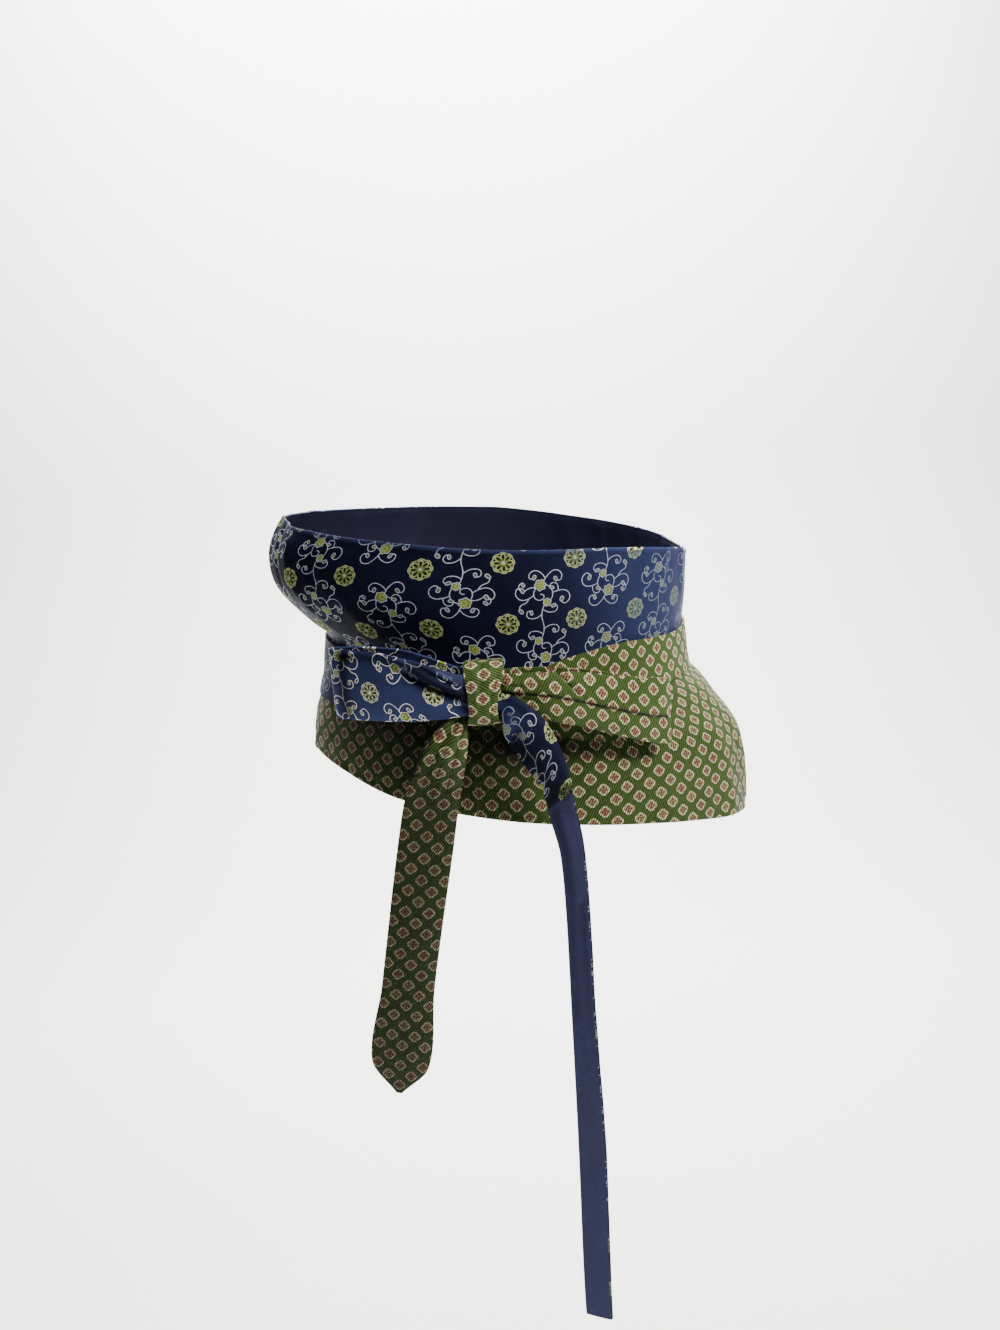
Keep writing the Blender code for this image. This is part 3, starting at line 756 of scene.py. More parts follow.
def lay_cloth(name, weave, place, relief, lie, wall, offset, finishes, closed=False, facing=1,
              start_row=None, painted_sheen=None, reverse=None, dark=None):
    """Lay a grid out as one piece of cloth: its form, its creases, its pattern and its thickness.

    Place gives the form, relief the height of the creases, lie where the pattern sits,
    painted_sheen how light the satin is painted there as painted sheen, dark how much painted shade
    folds and cast shadows put there, and reverse how far a place is inside the plain reverse.
    """
    us = [index / weave.columns for index in range(weave.columns + 1)]
    vs = grid_shares(weave.rows, weave.low_hem, weave.high_hem)
    points = [[place(u, v) for v in vs] for u in us]
    middle = len(vs) // 2 if start_row is None else start_row % len(vs)
    along, across = measure_flat(points, middle)
    shape = bmesh.new()
    sheet_map = shape.loops.layers.uv.new("cloth")
    bmesh.ops.create_grid(
        shape, x_segments=weave.columns, y_segments=len(vs) - 1, size=0.5, calc_uvs=True
    )
    column_of = shape.verts.layers.int.new("column")
    row_of = shape.verts.layers.int.new("row")
    for vert in shape.verts:
        vert[column_of] = round((vert.co.x + 0.5) * weave.columns)
        vert[row_of] = round((vert.co.y + 0.5) * (len(vs) - 1))
        vert.co = points[vert[column_of]][vert[row_of]]
    centre = flat_place(lie.u, lie.v, us, vs, along, across)
    turned = Matrix.Rotation(-math.radians(lie.turn), 2)
    for face in shape.faces:
        for loop in face.loops:
            column = round(loop[sheet_map].uv.x * weave.columns)
            row = round(loop[sheet_map].uv.y * (len(vs) - 1))
            flat = Vector((along[column], across[column][row]))
            loop[sheet_map].uv = turned @ (flat - centre)
    if closed:
        bmesh.ops.remove_doubles(shape, verts=shape.verts, dist=0.00001)
    # Painted sheen and painted shade are kept on the vertices, for the materials to blend into the colour
    for layer_name, value_at in (("painted_sheen", painted_sheen), ("dark", dark)):
        if value_at:
            values = shape.verts.layers.float.new(layer_name)
            for vert in shape.verts:
                vert[values] = value_at(us[vert[column_of]], vs[vert[row_of]])
    if reverse:
        inside = shape.verts.layers.float.new("reverse")
        for vert in shape.verts:
            u = us[vert[column_of]]
            vert[inside] = reverse(u, vs[vert[row_of]], across[vert[column_of]][vert[row_of]])
    shape.normal_update()
    length = along[-1] / MM
    moves = []
    for vert in shape.verts:
        column = vert[column_of]
        row = vert[row_of]
        u = us[column]
        v = vs[row]
        low = across[column][0] / MM
        width = across[column][-1] / MM - low
        height = relief(u, v, u * length, across[column][row] / MM - low, length, width)
        moves.append((vert, vert.normal * (facing * height * MM)))
    for vert, move in moves:
        vert.co += move
    mesh = bpy.data.meshes.new(name)
    shape.to_mesh(mesh)
    shape.free()
    mesh.shade_smooth()
    for finish in finishes:
        mesh.materials.append(finish)
    piece = bpy.data.objects.new(name, mesh)
    bpy.context.scene.collection.objects.link(piece)
    thickness = piece.modifiers.new("Thickness", "SOLIDIFY")
    thickness.thickness = wall
    thickness.offset = offset
    thickness.material_offset = len(finishes) - 1
    soft_edge = piece.modifiers.new("Soft edge", "BEVEL")
    soft_edge.width = 0.3 * wall
    soft_edge.segments = 2
    soft_edge.limit_method = "ANGLE"
    soft_edge.angle_limit = math.radians(55)
    return piece


def flat_place(u, v, us, vs, along, across):
    """The flat place, in metres, of a share of a piece's length and width."""
    column = min(range(len(us)), key=lambda index: abs(us[index] - u))
    row = min(range(len(vs)), key=lambda index: abs(vs[index] - v))
    return Vector((along[column], across[column][row]))


def cloth_area(piece):
    """Area of one face of a piece's cloth before it gets its thickness, in square metres."""
    return sum(face.area for face in piece.data.polygons)


def edge_fall(v, depth):
    """The rounding of a folded strip towards its two long edges."""
    return -depth * abs(2 * v - 1) ** 7


def clear_of_ties(u, height):
    """0 where a waist tie lies on the wrap and 1 away from it, at a height in millimetres."""
    away = (abs(height) - 22.0) / 14.0
    return min(1.0, max(0.0, away))


def navy_panel_relief(u, v, along, across, length, width):
    """The navy panel: a turned top hem, listed creases and a slight waviness."""
    free = clear_of_ties(u, across - 8.0)
    seamless = min(1.0, u / 0.02, (1 - u) / 0.02)
    creases = lines_height(NAVY_PANEL_LINES, along, across, length, width)
    waves = 0.35 * ripple(along, across, 34.0, 1.5) + 0.12 * ripple(along, across, 11.0, 4.0)
    return seamless * free * (creases + waves) + hem_height(width - across)


def green_panel_relief(u, v, along, across, length, width):
    """The green panel: a turned lower hem, listed creases and a slight waviness."""
    free = clear_of_ties(u, width - across + 8.0)
    seamless = min(1.0, u / 0.02, (1 - u) / 0.02)
    creases = lines_height(GREEN_PANEL_LINES, along, across, length, width)
    waves = 0.4 * ripple(along, across, 32.0, 7.5) + 0.15 * ripple(along, across, 10.0, 9.0)
    return seamless * free * (creases + waves) + hem_height(across)


def tie_relief(lines, seed):
    """A waist tie: rounded long edges, drag lines and a slight waviness along it."""
    def relief(u, v, along, across, length, width):
        waves = 0.18 * ripple(along, across * 2.5, 26.0, seed)
        return lines_height(lines, along, across, length, width) * 0.8 + waves + edge_fall(v, 0.45)
    return relief


def knot_relief(u, v, along, across, length, width):
    """The knot: lengthwise gathers that are deeper on its front than behind."""
    return lines_height(KNOT_LINES, along, across, length, width) + edge_fall(v, 0.5)


def strip_relief(lines, seed, fall):
    """A loop or tail: its listed creases, a slight waviness and rounded long edges."""
    def relief(u, v, along, across, length, width):
        waves = 0.3 * ripple(along, across, 22.0, seed) * min(1.0, u / 0.1)
        return lines_height(lines, along, across, length, width) + waves + edge_fall(v, fall)
    return relief


def smooth_step(value, low, high):
    """0 below low, 1 above high and a smooth rise between them."""
    share = min(1.0, max(0.0, (value - low) / (high - low)))
    return share * share * (3 - 2 * share)


def navy_panel_painted_sheen(u, v):
    """Painted sheen: the satin is left dark on the wearer's right and painted lighter round towards the
    left side, where the key light falls, a little round the back, and with a painted highlight along the
    top hem.
    """
    turn = -180 + 360 * u
    front = 0.56 * smooth_step(turn, 0, 56) * (1 - smooth_step(turn, 95, 150))
    side = 0.3 * smooth_step(turn, -178, -150) * (1 - smooth_step(turn, -140, -105))
    hem = 0.5 * smooth_step(v, 0.985, 0.993)
    return front + side + hem


def painted_shade(lines, spread, everywhere=0.0):
    """Painted shade: how dark folds and cast shadows keep each place of a piece whose length and width
    spread gives, with an even painted shade added everywhere.
    """
    def darkness(u, v):
        along = u * spread.length
        across = v * spread.width
        return everywhere + lines_height(lines, along, across, spread.length, spread.width)
    return darkness


def navy_loop_painted_sheen(u, v):
    """Painted sheen: the loop's satin is painted lightest in the middle of its front layer and painted
    darker in the shade of its pleat.
    """
    middle = math.exp(-((u - 0.31) / 0.13) ** 2 - ((v - 0.42) / 0.42) ** 2)
    pleat = math.exp(-((v - navy_pleat_row(u)) / 0.16) ** 2) * smooth_step(-u, -0.32, -0.22)
    return max(0.75 + 0.2 * middle - 1.1 * pleat, 0.0)


def navy_tail_painted_sheen(u, v):
    """Painted sheen: the tail's satin is painted lit at the top and where its plain reverse faces the
    light.
    """
    rim = math.exp(-((u - 0.07) / 0.05) ** 2 - ((v - 0.10) / 0.14) ** 2)
    return 0.06 + 0.5 * rim + 0.27 * smooth_step(u, 0.27, 0.34)


def even_painted_sheen(shade):
    """A piece whose satin has an even painted sheen all over."""
    return lambda u, v: shade


def navy_loop_reverse(u, v, across):
    """How far a place of the navy loop is inside the plain reverse that shows by its pleat."""
    return min((v - navy_pleat_row(u) - 0.19) * 0.03, (0.225 - u) * 0.2)


def tail_reverse(u, v, across):
    """How far a place of the navy tail is inside its plain reverse, in metres: below 0 is brocade."""
    down = (u - REVERSE_START) * NAVY_TAIL_LENGTH * MM
    return min(down, -REVERSE_EDGE * MM - across)


def linear_colour(code):
    """An sRGB hex colour as linear red, green and blue."""
    parts = [int(code[place:place + 2], 16) / 255 for place in (1, 3, 5)]
    return [part / 12.92 if part <= 0.04045 else ((part + 0.055) / 1.055) ** 2.4 for part in parts]


def node(tree, kind, inputs=(), output=0, **settings):
    """Add a node with its settings and inputs, by order or by name, and return one of its outputs."""
    made = tree.nodes.new(kind)
    for setting, value in settings.items():
        setattr(made, setting, value)
    feeds = inputs.items() if isinstance(inputs, dict) else enumerate(inputs)
    for place, value in feeds:
        if isinstance(value, bpy.types.NodeSocket):
            tree.links.new(value, made.inputs[place])
        elif value is not None:
            made.inputs[place].default_value = value
    return made.outputs[output]


def math_tools(tree):
    """Shorthands for this tree: plain maths, maths on vectors, and a blend of two colours."""
    def calc(operation, *values):
        return node(tree, "ShaderNodeMath", values, operation=operation)

    def shift(operation, *values, output=0):
        return node(tree, "ShaderNodeVectorMath", values, output, operation=operation)

    def blend(share, under, over):
        under = under if isinstance(under, bpy.types.NodeSocket) else (*under, 1.0)
        over = over if isinstance(over, bpy.types.NodeSocket) else (*over, 1.0)
        return node(tree, "ShaderNodeMix", {0: share, 6: under, 7: over}, 2, data_type="RGBA")

    return calc, shift, blend


def vine_arcs():
    """Every arc of the vine as middle, radius, middle direction, half sweep, start and sweep."""
    arcs = []
    for branch in VINE:
        if branch.parent is None:
            x, y, heading = VINE_START
        else:
            parent = arcs[branch.parent]
            reached = parent["start"] + branch.share * parent["sweep"]
            x = parent["x"] + parent["radius"] * math.cos(math.radians(reached))
            y = parent["y"] + parent["radius"] * math.sin(math.radians(reached))
            heading = parent["heading"] + branch.share * parent["sweep"] + branch.veer
        for radius, sweep in branch.arcs:
            side = 1 if sweep > 0 else -1
            middle_x = x - side * radius * math.sin(math.radians(heading))
            middle_y = y + side * radius * math.cos(math.radians(heading))
            start = heading - side * 90
            arcs.append({
                "x": middle_x,
                "y": middle_y,
                "radius": radius,
                "start": start,
                "sweep": sweep,
                "heading": heading,
            })
            x = middle_x + radius * math.cos(math.radians(start + sweep))
            y = middle_y + radius * math.sin(math.radians(start + sweep))
            heading += sweep
    return arcs


def brocade_figure(tree, cloth_mm):
    """Masks of the brocade's vine, buds and rosettes from a flat place on the cloth in millimetres."""
    calc, shift, _ = math_tools(tree)
    step = (ROSETTE_STEP[0], ROSETTE_STEP[1], 1.0)
    cells = shift("DIVIDE", cloth_mm, step)
    cell = shift("FLOOR", cells)
    inside = shift("SUBTRACT", shift("FRACTION", cells), HALF_CELL)
    place = shift("MULTIPLY", inside, step)
    odd = calc("FLOORED_MODULO", shift("DOT_PRODUCT", cell, (1.0, 1.0, 0.0), output=1), 2.0)
    half_turn = calc("MULTIPLY_ADD", odd, -2.0, 1.0)
    place = node(tree, "ShaderNodeVectorMath", {0: place, 3: half_turn}, operation="SCALE")
    arcs = vine_arcs()
    vine = None
    for arc in arcs:
        direction = math.radians(arc["start"] + arc["sweep"] / 2)
        reach = arc["radius"] * math.cos(math.radians(abs(arc["sweep"]) / 2))
        away = shift("SUBTRACT", place, (arc["x"], arc["y"], 0.0))
        line = calc("COMPARE", shift("LENGTH", away, output=1), arc["radius"], VINE_HALF_WIDTH)
        side = shift("DOT_PRODUCT", away, (math.cos(direction), math.sin(direction), 0.0), output=1)
        part = calc("MULTIPLY", line, calc("GREATER_THAN", side, reach))
        vine = calc("MAXIMUM", vine, part) if vine else part
    bloom_rim, bloom_fill, bloom_marks = bud_masks(tree, place, arcs, BLOSSOMS, BLOSSOM_EDGE, marked=True)
    leaf_rim, leaf_fill, _ = bud_masks(tree, place, arcs, LEAVES, LEAF_EDGE)
    corner = shift("SUBTRACT", shift("FRACTION", shift("ADD", cells, HALF_CELL)), HALF_CELL)
    petal = shift("MULTIPLY", corner, step)
    distance = shift("LENGTH", petal, output=1)
    x = node(tree, "ShaderNodeSeparateXYZ", (petal,), 0)
    y = node(tree, "ShaderNodeSeparateXYZ", (petal,), 1)
    angle = calc("ARCTAN2", y, x)
    scallop = calc("ABSOLUTE", calc("COSINE", calc("MULTIPLY", angle, 4.0)))
    edge = calc("MULTIPLY_ADD", scallop, 0.75, ROSETTE_RADIUS - 0.75)
    rosette = calc("LESS_THAN", distance, edge)
    rosette_fill = calc("LESS_THAN", calc("ADD", distance, FIGURE_OUTLINE), edge)
    petal_line = calc("COMPARE", calc("MULTIPLY_ADD", scallop, 2.2, 3.3), distance, 0.27)
    slots = calc("MULTIPLY", calc("COMPARE", distance, 3.3, 1.4), calc("GREATER_THAN", scallop, 0.8))
    dots = calc("MULTIPLY", calc("COMPARE", distance, 5.0, 0.55), calc("LESS_THAN", scallop, 0.34))
    centre = calc("LESS_THAN", distance, 0.95)
    return {
        "vine": vine,
        "rims": calc("MAXIMUM", bloom_rim, leaf_rim),
        "bloom": bloom_fill,
        "marks": bloom_marks,
        "leaf": leaf_fill,
        "rosette": rosette,
        "rosette_fill": rosette_fill,
        "petal_line": petal_line,
        "dark": calc("MAXIMUM", slots, dots),
        "centre": centre,
    }


def bud_masks(tree, place, arcs, buds, edge_waves, marked=False):
    """Masks of the outlines, insides and, where marked, inner marks of buds on the vine."""
    calc, shift, _ = math_tools(tree)
    rims = None
    fills = None
    marks = None
    lobes, lobe_depth, tips, tip_depth = edge_waves
    for bud in buds:
        arc = arcs[bud.arc]
        reached = math.radians(arc["start"] + bud.share * arc["sweep"])
        middle_x = arc["x"] + arc["radius"] * math.cos(reached)
        middle_y = arc["y"] + arc["radius"] * math.sin(reached)
        away = shift("SUBTRACT", place, (middle_x, middle_y, 0.0))
        distance = shift("LENGTH", away, output=1)
        x = node(tree, "ShaderNodeSeparateXYZ", (away,), 0)
        y = node(tree, "ShaderNodeSeparateXYZ", (away,), 1)
        heading = math.radians(arc["heading"] + bud.share * arc["sweep"])
        angle = calc("SUBTRACT", calc("ARCTAN2", y, x), heading)
        lobe_turn = calc("COSINE", calc("MULTIPLY", angle, lobes))
        lobe_wave = calc("MULTIPLY", lobe_turn, lobe_depth * bud.radius)
        tip_turn = calc("COSINE", calc("MULTIPLY", angle, tips))
        tip_wave = calc("MULTIPLY", tip_turn, tip_depth * bud.radius)
        edge = calc("ADD", calc("ADD", lobe_wave, tip_wave), bud.radius)
        rim = calc("LESS_THAN", distance, edge)
        fill = calc("LESS_THAN", calc("ADD", distance, FIGURE_OUTLINE), edge)
        rims = calc("MAXIMUM", rims, rim) if rims else rim
        fills = calc("MAXIMUM", fills, fill) if fills else fill
        if marked:
            ring = calc("COMPARE", distance, bud.radius * 0.42, 0.3)
            dashes = calc("GREATER_THAN", calc("COSINE", calc("MULTIPLY", angle, 7.0)), 0.0)
            mark = calc("MULTIPLY", ring, dashes)
            marks = calc("MAXIMUM", marks, mark) if marks else mark
    return rims, fills, marks


def cloth_place(tree):
    """The flat place on a piece's cloth in millimetres."""
    flat = node(tree, "ShaderNodeUVMap", uv_map="cloth")
    return node(tree, "ShaderNodeVectorMath", {0: flat, 3: 1 / MM}, operation="SCALE")


def new_material(name, shown):
    """An empty material with its shader, and the colour that the viewport shows."""
    material = bpy.data.materials.new(name)
    material.use_nodes = True
    material.diffuse_color = (*shown, 1.0)
    tree = material.node_tree
    return material, tree, tree.nodes["Principled BSDF"]


def join(tree, shader, **feeds):
    """Link outputs to the shader's inputs, or set a constant on the input itself."""
    for name, value in feeds.items():
        socket = shader.inputs[name.replace("_", " ")]
        if isinstance(value, bpy.types.NodeSocket):
            tree.links.new(value, socket)
        else:
            socket.default_value = value


def silk_brocade(look):
    """Silk brocade: a smooth satin ground that shines where it faces the light, partly by its own gloss and
    partly by painted sheen, and a matt woven figure.
    """
    material, tree, shader = new_material("navy_silk_brocade", look.navy_ground)
    calc, shift, blend = math_tools(tree)
    place = cloth_place(tree)
    figure = brocade_figure(tree, place)
    painted_sheen = node(tree, "ShaderNodeAttribute", output=2, attribute_name="painted_sheen")
    reverse = node(tree, "ShaderNodeAttribute", output=2, attribute_name="reverse")
    dark = node(tree, "ShaderNodeAttribute", output=2, attribute_name="dark")
    patterned = calc("LESS_THAN", reverse, 0.00001)
    # The satin's floating threads lie across the cloth, about 12 to a millimetre. They are drawn
    # five times as coarse here, so that the render shows their streaks.
    thread_place = shift("MULTIPLY", place, (0.35, 2.4, 1.0))
    threads = node(tree, "ShaderNodeTexNoise", {"Vector": thread_place, "Scale": 1.0, "Detail": 2.0})
    slow = node(tree, "ShaderNodeTexNoise", {"Vector": place, "Scale": 0.022, "Detail": 1.0})
    # Painted sheen: the satin ground is blended from its shaded colour to its lit colour by the painted
    # sheen attribute, and the plain reverse likewise
    lightness = calc("MULTIPLY_ADD", painted_sheen, 0.8, calc("MULTIPLY", calc("MULTIPLY", threads, slow), 0.3))
    ground = blend(lightness, look.navy_ground, look.navy_light)
    plain_lightness = calc("MULTIPLY_ADD", threads, 0.45, calc("MULTIPLY", painted_sheen, 0.5))
    plain = blend(plain_lightness, look.reverse_ground, look.reverse_light)
    figure_mask = calc("MAXIMUM", calc("MAXIMUM", figure["vine"], figure["rims"]), figure["rosette"])
    # Painted highlight and shade of the figure: beside satin with painted sheen the figure is painted dull,
    # and where the painted sheen is strongest it is painted bright
    lit = node(tree, "ShaderNodeMapRange", (painted_sheen, 0.62, 0.74, 0.0, 1.0))
    silver = blend(lit, look.silver_thread, look.figure_lit)
    light = blend(calc("MULTIPLY", lit, 0.7), look.rosette_light, look.figure_lit)
    petals = blend(calc("MULTIPLY", lit, 0.6), look.rosette_green, look.rosette_light)
    colour = blend(figure["vine"], ground, silver)
    colour = blend(figure["rims"], colour, silver)
    colour = blend(figure["leaf"], colour, look.leaf_grey)
    colour = blend(figure["bloom"], colour, look.bud_green)
    colour = blend(calc("MULTIPLY", figure["marks"], figure["bloom"]), colour, light)
    colour = blend(figure["rosette"], colour, light)
    colour = blend(figure["rosette_fill"], colour, petals)
    colour = blend(calc("MULTIPLY", figure["petal_line"], figure["rosette_fill"]), colour, light)
    colour = blend(figure["dark"], colour, look.navy_ground)
    colour = blend(figure["centre"], colour, silver)
    # The figure's yarns are taken a little darker and lighter by turns, as a loom leaves them
    picks = calc("MULTIPLY_ADD", threads, -0.5, 0.38)
    colour = blend(calc("MULTIPLY", picks, figure["rosette"]), colour, look.navy_ground)
    dulled = calc("MULTIPLY", calc("MULTIPLY", figure_mask, painted_sheen), calc("SUBTRACT", 1.0, lit))
    colour = blend(calc("MULTIPLY", dulled, 1.35), colour, look.figure_dull)
    colour = blend(patterned, plain, colour)
    # Painted shade: the dark attribute blends folds and cast shadows towards the shade colour
    colour = blend(dark, colour, look.painted_shade_colour)
    raised = calc("MULTIPLY", figure_mask, patterned)
    rough = calc("MULTIPLY_ADD", threads, 0.12, calc("MULTIPLY_ADD", raised, 0.2, 0.44))
    # The painted sheen also makes the satin more metallic where it is painted lit
    shine = calc("MULTIPLY", calc("SUBTRACT", 1.0, raised), calc("MULTIPLY", painted_sheen, 0.25))
    height = calc("MULTIPLY_ADD", raised, 0.8, calc("MULTIPLY", threads, 0.35))
    bump = node(tree, "ShaderNodeBump", {"Strength": 0.25, "Distance": 0.00015, "Height": height})
    join(tree, shader, Base_Color=colour, Roughness=rough, Metallic=shine, Normal=bump)
    join(tree, shader, Sheen_Weight=0.02, Sheen_Roughness=0.35, Sheen_Tint=(*look.navy_light, 1.0))
    # A weave has no closed surface, so that it mirrors little even at a flat angle
    join(tree, shader, IOR=1.1)
    return material


def plain_reverse(name, ground, light):
    """The reverse of tie silk: the same yarns without the figure, duller and slightly ribbed."""
    material, tree, shader = new_material(name, ground)
    calc, shift, blend = math_tools(tree)
    place = cloth_place(tree)
    thread_place = shift("MULTIPLY", place, (0.5, 2.0, 1.0))
    threads = node(tree, "ShaderNodeTexNoise", {"Vector": thread_place, "Scale": 1.0, "Detail": 3.0})
    colour = blend(calc("MULTIPLY", threads, 0.1), ground, light)
    bump = node(tree, "ShaderNodeBump", {"Strength": 0.3, "Distance": 0.0002, "Height": threads})
    join(tree, shader, Base_Color=colour, Roughness=0.62, IOR=1.2, Normal=bump)
    return material


def silk_foulard(look):
    """Printed foulard: a fine diagonal silk twill whose ribs show, with small medallions printed on it."""
    material, tree, shader = new_material("green_silk_foulard", look.green_ground)
    calc, shift, blend = math_tools(tree)
    place = cloth_place(tree)
    turned = node(tree, "ShaderNodeMapping", {"Vector": place, "Rotation": (0, 0, math.radians(45))})
    cells = node(tree, "ShaderNodeVectorMath", {0: turned, 3: 1 / MEDALLION_STEP}, operation="SCALE")
    inside = shift("SUBTRACT", shift("FRACTION", shift("ADD", cells, HALF_CELL)), HALF_CELL)
    petal = node(tree, "ShaderNodeVectorMath", {0: inside, 3: MEDALLION_STEP}, operation="SCALE")
    folded = shift("ABSOLUTE", petal)
    lobe = shift("LENGTH", shift("SUBTRACT", folded, (LOBE_OFFSET, LOBE_OFFSET, 0.0)), output=1)
    # Printed dye bleeds a little along the ribs, so that the medallions' edges are not sharp
    bleed = node(tree, "ShaderNodeTexNoise", {"Vector": place, "Scale": 1.1, "Detail": 2.0})
    lobe = calc("ADD", lobe, calc("MULTIPLY_ADD", bleed, 0.5, -0.25))
    outline = calc("LESS_THAN", lobe, LOBE_RADIUS)
    filled = calc("LESS_THAN", lobe, LOBE_RADIUS - LOBE_OUTLINE)
    lobe_heart = calc("LESS_THAN", lobe, LOBE_HEART)
    heart = calc("LESS_THAN", shift("LENGTH", petal, output=1), MEDALLION_HEART)
    # Some medallions are printed redder than others
    cell = shift("FLOOR", shift("ADD", cells, HALF_CELL))
    chance = node(tree, "ShaderNodeTexWhiteNoise", {"Vector": cell}, noise_dimensions="2D")
    fill = blend(chance, look.medallion_tan, look.medallion_red)
    slow = node(tree, "ShaderNodeTexNoise", {"Vector": place, "Scale": 0.03, "Detail": 2.0})
    ground = blend(slow, look.green_ground, look.green_light)
    rib_place = node(tree, "ShaderNodeMapping", {"Vector": place, "Rotation": (0, 0, math.radians(-63))})
    across_ribs = node(tree, "ShaderNodeSeparateXYZ", (rib_place,), 1)
    rib = calc("SINE", calc("MULTIPLY", across_ribs, 2 * math.pi / RIB_STEP))
    rib = calc("MULTIPLY_ADD", rib, 0.5, 0.5)
    colour = blend(outline, ground, look.medallion_cream)
    colour = blend(filled, colour, fill)
    colour = blend(lobe_heart, colour, look.medallion_dark)
    colour = blend(heart, colour, look.medallion_dark)
    # The ribs of the real twill lie about 0.6 mm apart. They are drawn coarser, so that they show.
    colour = blend(calc("MULTIPLY", calc("SUBTRACT", 1.0, rib), 0.8), colour, look.green_deep)
    dark = node(tree, "ShaderNodeAttribute", output=2, attribute_name="dark")
    # Painted shade: the dark attribute blends folds and cast shadows towards the shade colour
    colour = blend(dark, colour, look.painted_shade_colour)
    bump = node(tree, "ShaderNodeBump", {"Strength": 0.8, "Distance": 0.0003, "Height": rib})
    rough = calc("MULTIPLY_ADD", rib, -0.1, 0.62)
    join(tree, shader, Base_Color=colour, Roughness=rough, Normal=bump)
    join(tree, shader, Sheen_Weight=0.03, Sheen_Roughness=0.4, Sheen_Tint=(*look.green_light, 1.0))
    join(tree, shader, IOR=1.2)
    return material


def studio_paper(look):
    """Matt seamless paper, whose faint grain keeps the floor from looking like plastic."""
    material, tree, shader = new_material("matt_studio_paper", look.paper)
    place = node(tree, "ShaderNodeTexCoord", output=3)
    grain = node(tree, "ShaderNodeTexNoise", {"Vector": place, "Scale": 60.0, "Detail": 3.0})
    bump = node(tree, "ShaderNodeBump", {"Strength": 0.05, "Distance": 0.001, "Height": grain})
    join(tree, shader, Base_Color=(*look.paper, 1.0), Roughness=0.9, Normal=bump)
    return material


def finish_named(name, make, *values):
    """A material that several pieces share, made the first time that one of them needs it."""
    return bpy.data.materials.get(name) or make(*values)


def navy_finishes(look):
    """Face and reverse of the navy silk."""
    face = finish_named("navy_silk_brocade", silk_brocade, look)
    name = "navy_silk_reverse"
    back = finish_named(name, plain_reverse, name, look.reverse_ground, look.navy_light)
    return face, back


def green_finishes(look):
    """Face and reverse of the green silk."""
    face = finish_named("green_silk_foulard", silk_foulard, look)
    name = "green_silk_reverse"
    back = finish_named(name, plain_reverse, name, look.green_deep, look.green_ground)
    return face, back


def dress(piece, node_name):
    """Hand a finished piece over: hide the imported part that it stands for, let it ride on the root body
    and measure its cloth area.
    """
    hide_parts(node_name)
    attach(piece, "root")
    area = cloth_area(piece)


def colour_property(name, description, code):
    """A colour that a user can change, given as an sRGB hex default."""
    return bpy.props.FloatVectorProperty(
        name=name, description=description, subtype="COLOR", min=0, max=1, default=linear_colour(code)
    )


class SashLook(bpy.types.PropertyGroup):
    """Colours of the two silks and of the studio."""
    navy_ground: colour_property("Navy ground", "Satin ground of the brocade in shadow", "#080a17")
    navy_light: colour_property("Navy light", "Satin ground of the brocade in light", "#37406b")
    reverse_ground: colour_property("Navy reverse", "Plain reverse of the brocade", "#0f0f22")
    reverse_light: colour_property("Navy reverse in light", "Plain reverse that faces the light", "#474c72")
    silver_thread: colour_property("Silver thread", "Vines and rosette centres", "#a9b0c2")
    bud_green: colour_property("Bud green", "Blossoms on the vines", "#6f7d37")
    leaf_grey: colour_property("Leaf grey", "Inside of the leaves", "#56624f")
    rosette_green: colour_property("Rosette green", "Petals of the rosettes", "#6f7d3e")
    rosette_light: colour_property("Rosette light", "Outlines of the rosettes", "#b1b98b")
    figure_dull: colour_property("Dull figure", "Woven figure beside lit satin", "#4a5666")
    figure_lit: colour_property("Figure in light", "Woven figure where it faces the light", "#f3f5e8")
    green_ground: colour_property("Green ground", "Foulard ground", "#3b4f20")
    green_light: colour_property("Green light", "Foulard ground where the dye is lighter", "#536c35")
    green_deep: colour_property("Green deep", "Between the ribs of the twill", "#121c06")
    medallion_cream: colour_property("Medallion cream", "Outlines of the medallions", "#e8e2bf")
    medallion_tan: colour_property("Medallion tan", "Inside of the medallions", "#a8966d")
    medallion_red: colour_property("Medallion red", "Inside of the redder medallions", "#996f5c")
    medallion_dark: colour_property("Medallion dark", "Petals inside the medallions", "#5f2f29")
    # Painted shade colour, which the painted shade of folds, cast shadows and shaded parts blends towards
    painted_shade_colour: colour_property("Crease dark", "Deep folds that no light reaches", "#050605")
    paper: colour_property("Paper", "Floor and backdrop", "#f3f2f0")


class SashSizes(bpy.types.PropertyGroup):
    """Sizes of the cloth."""
    wall: bpy.props.FloatProperty(
        name="Cloth", description="Thickness of the wrap, ties, knot and loops",
        default=WALL, min=0.001, max=0.003, unit="LENGTH"
    )
    tail_wall: bpy.props.FloatProperty(
        name="Tail cloth", description="Thickness of the flat tail, which is a folded tie",
        default=TAIL_WALL, min=0.001, max=0.003, unit="LENGTH"
    )


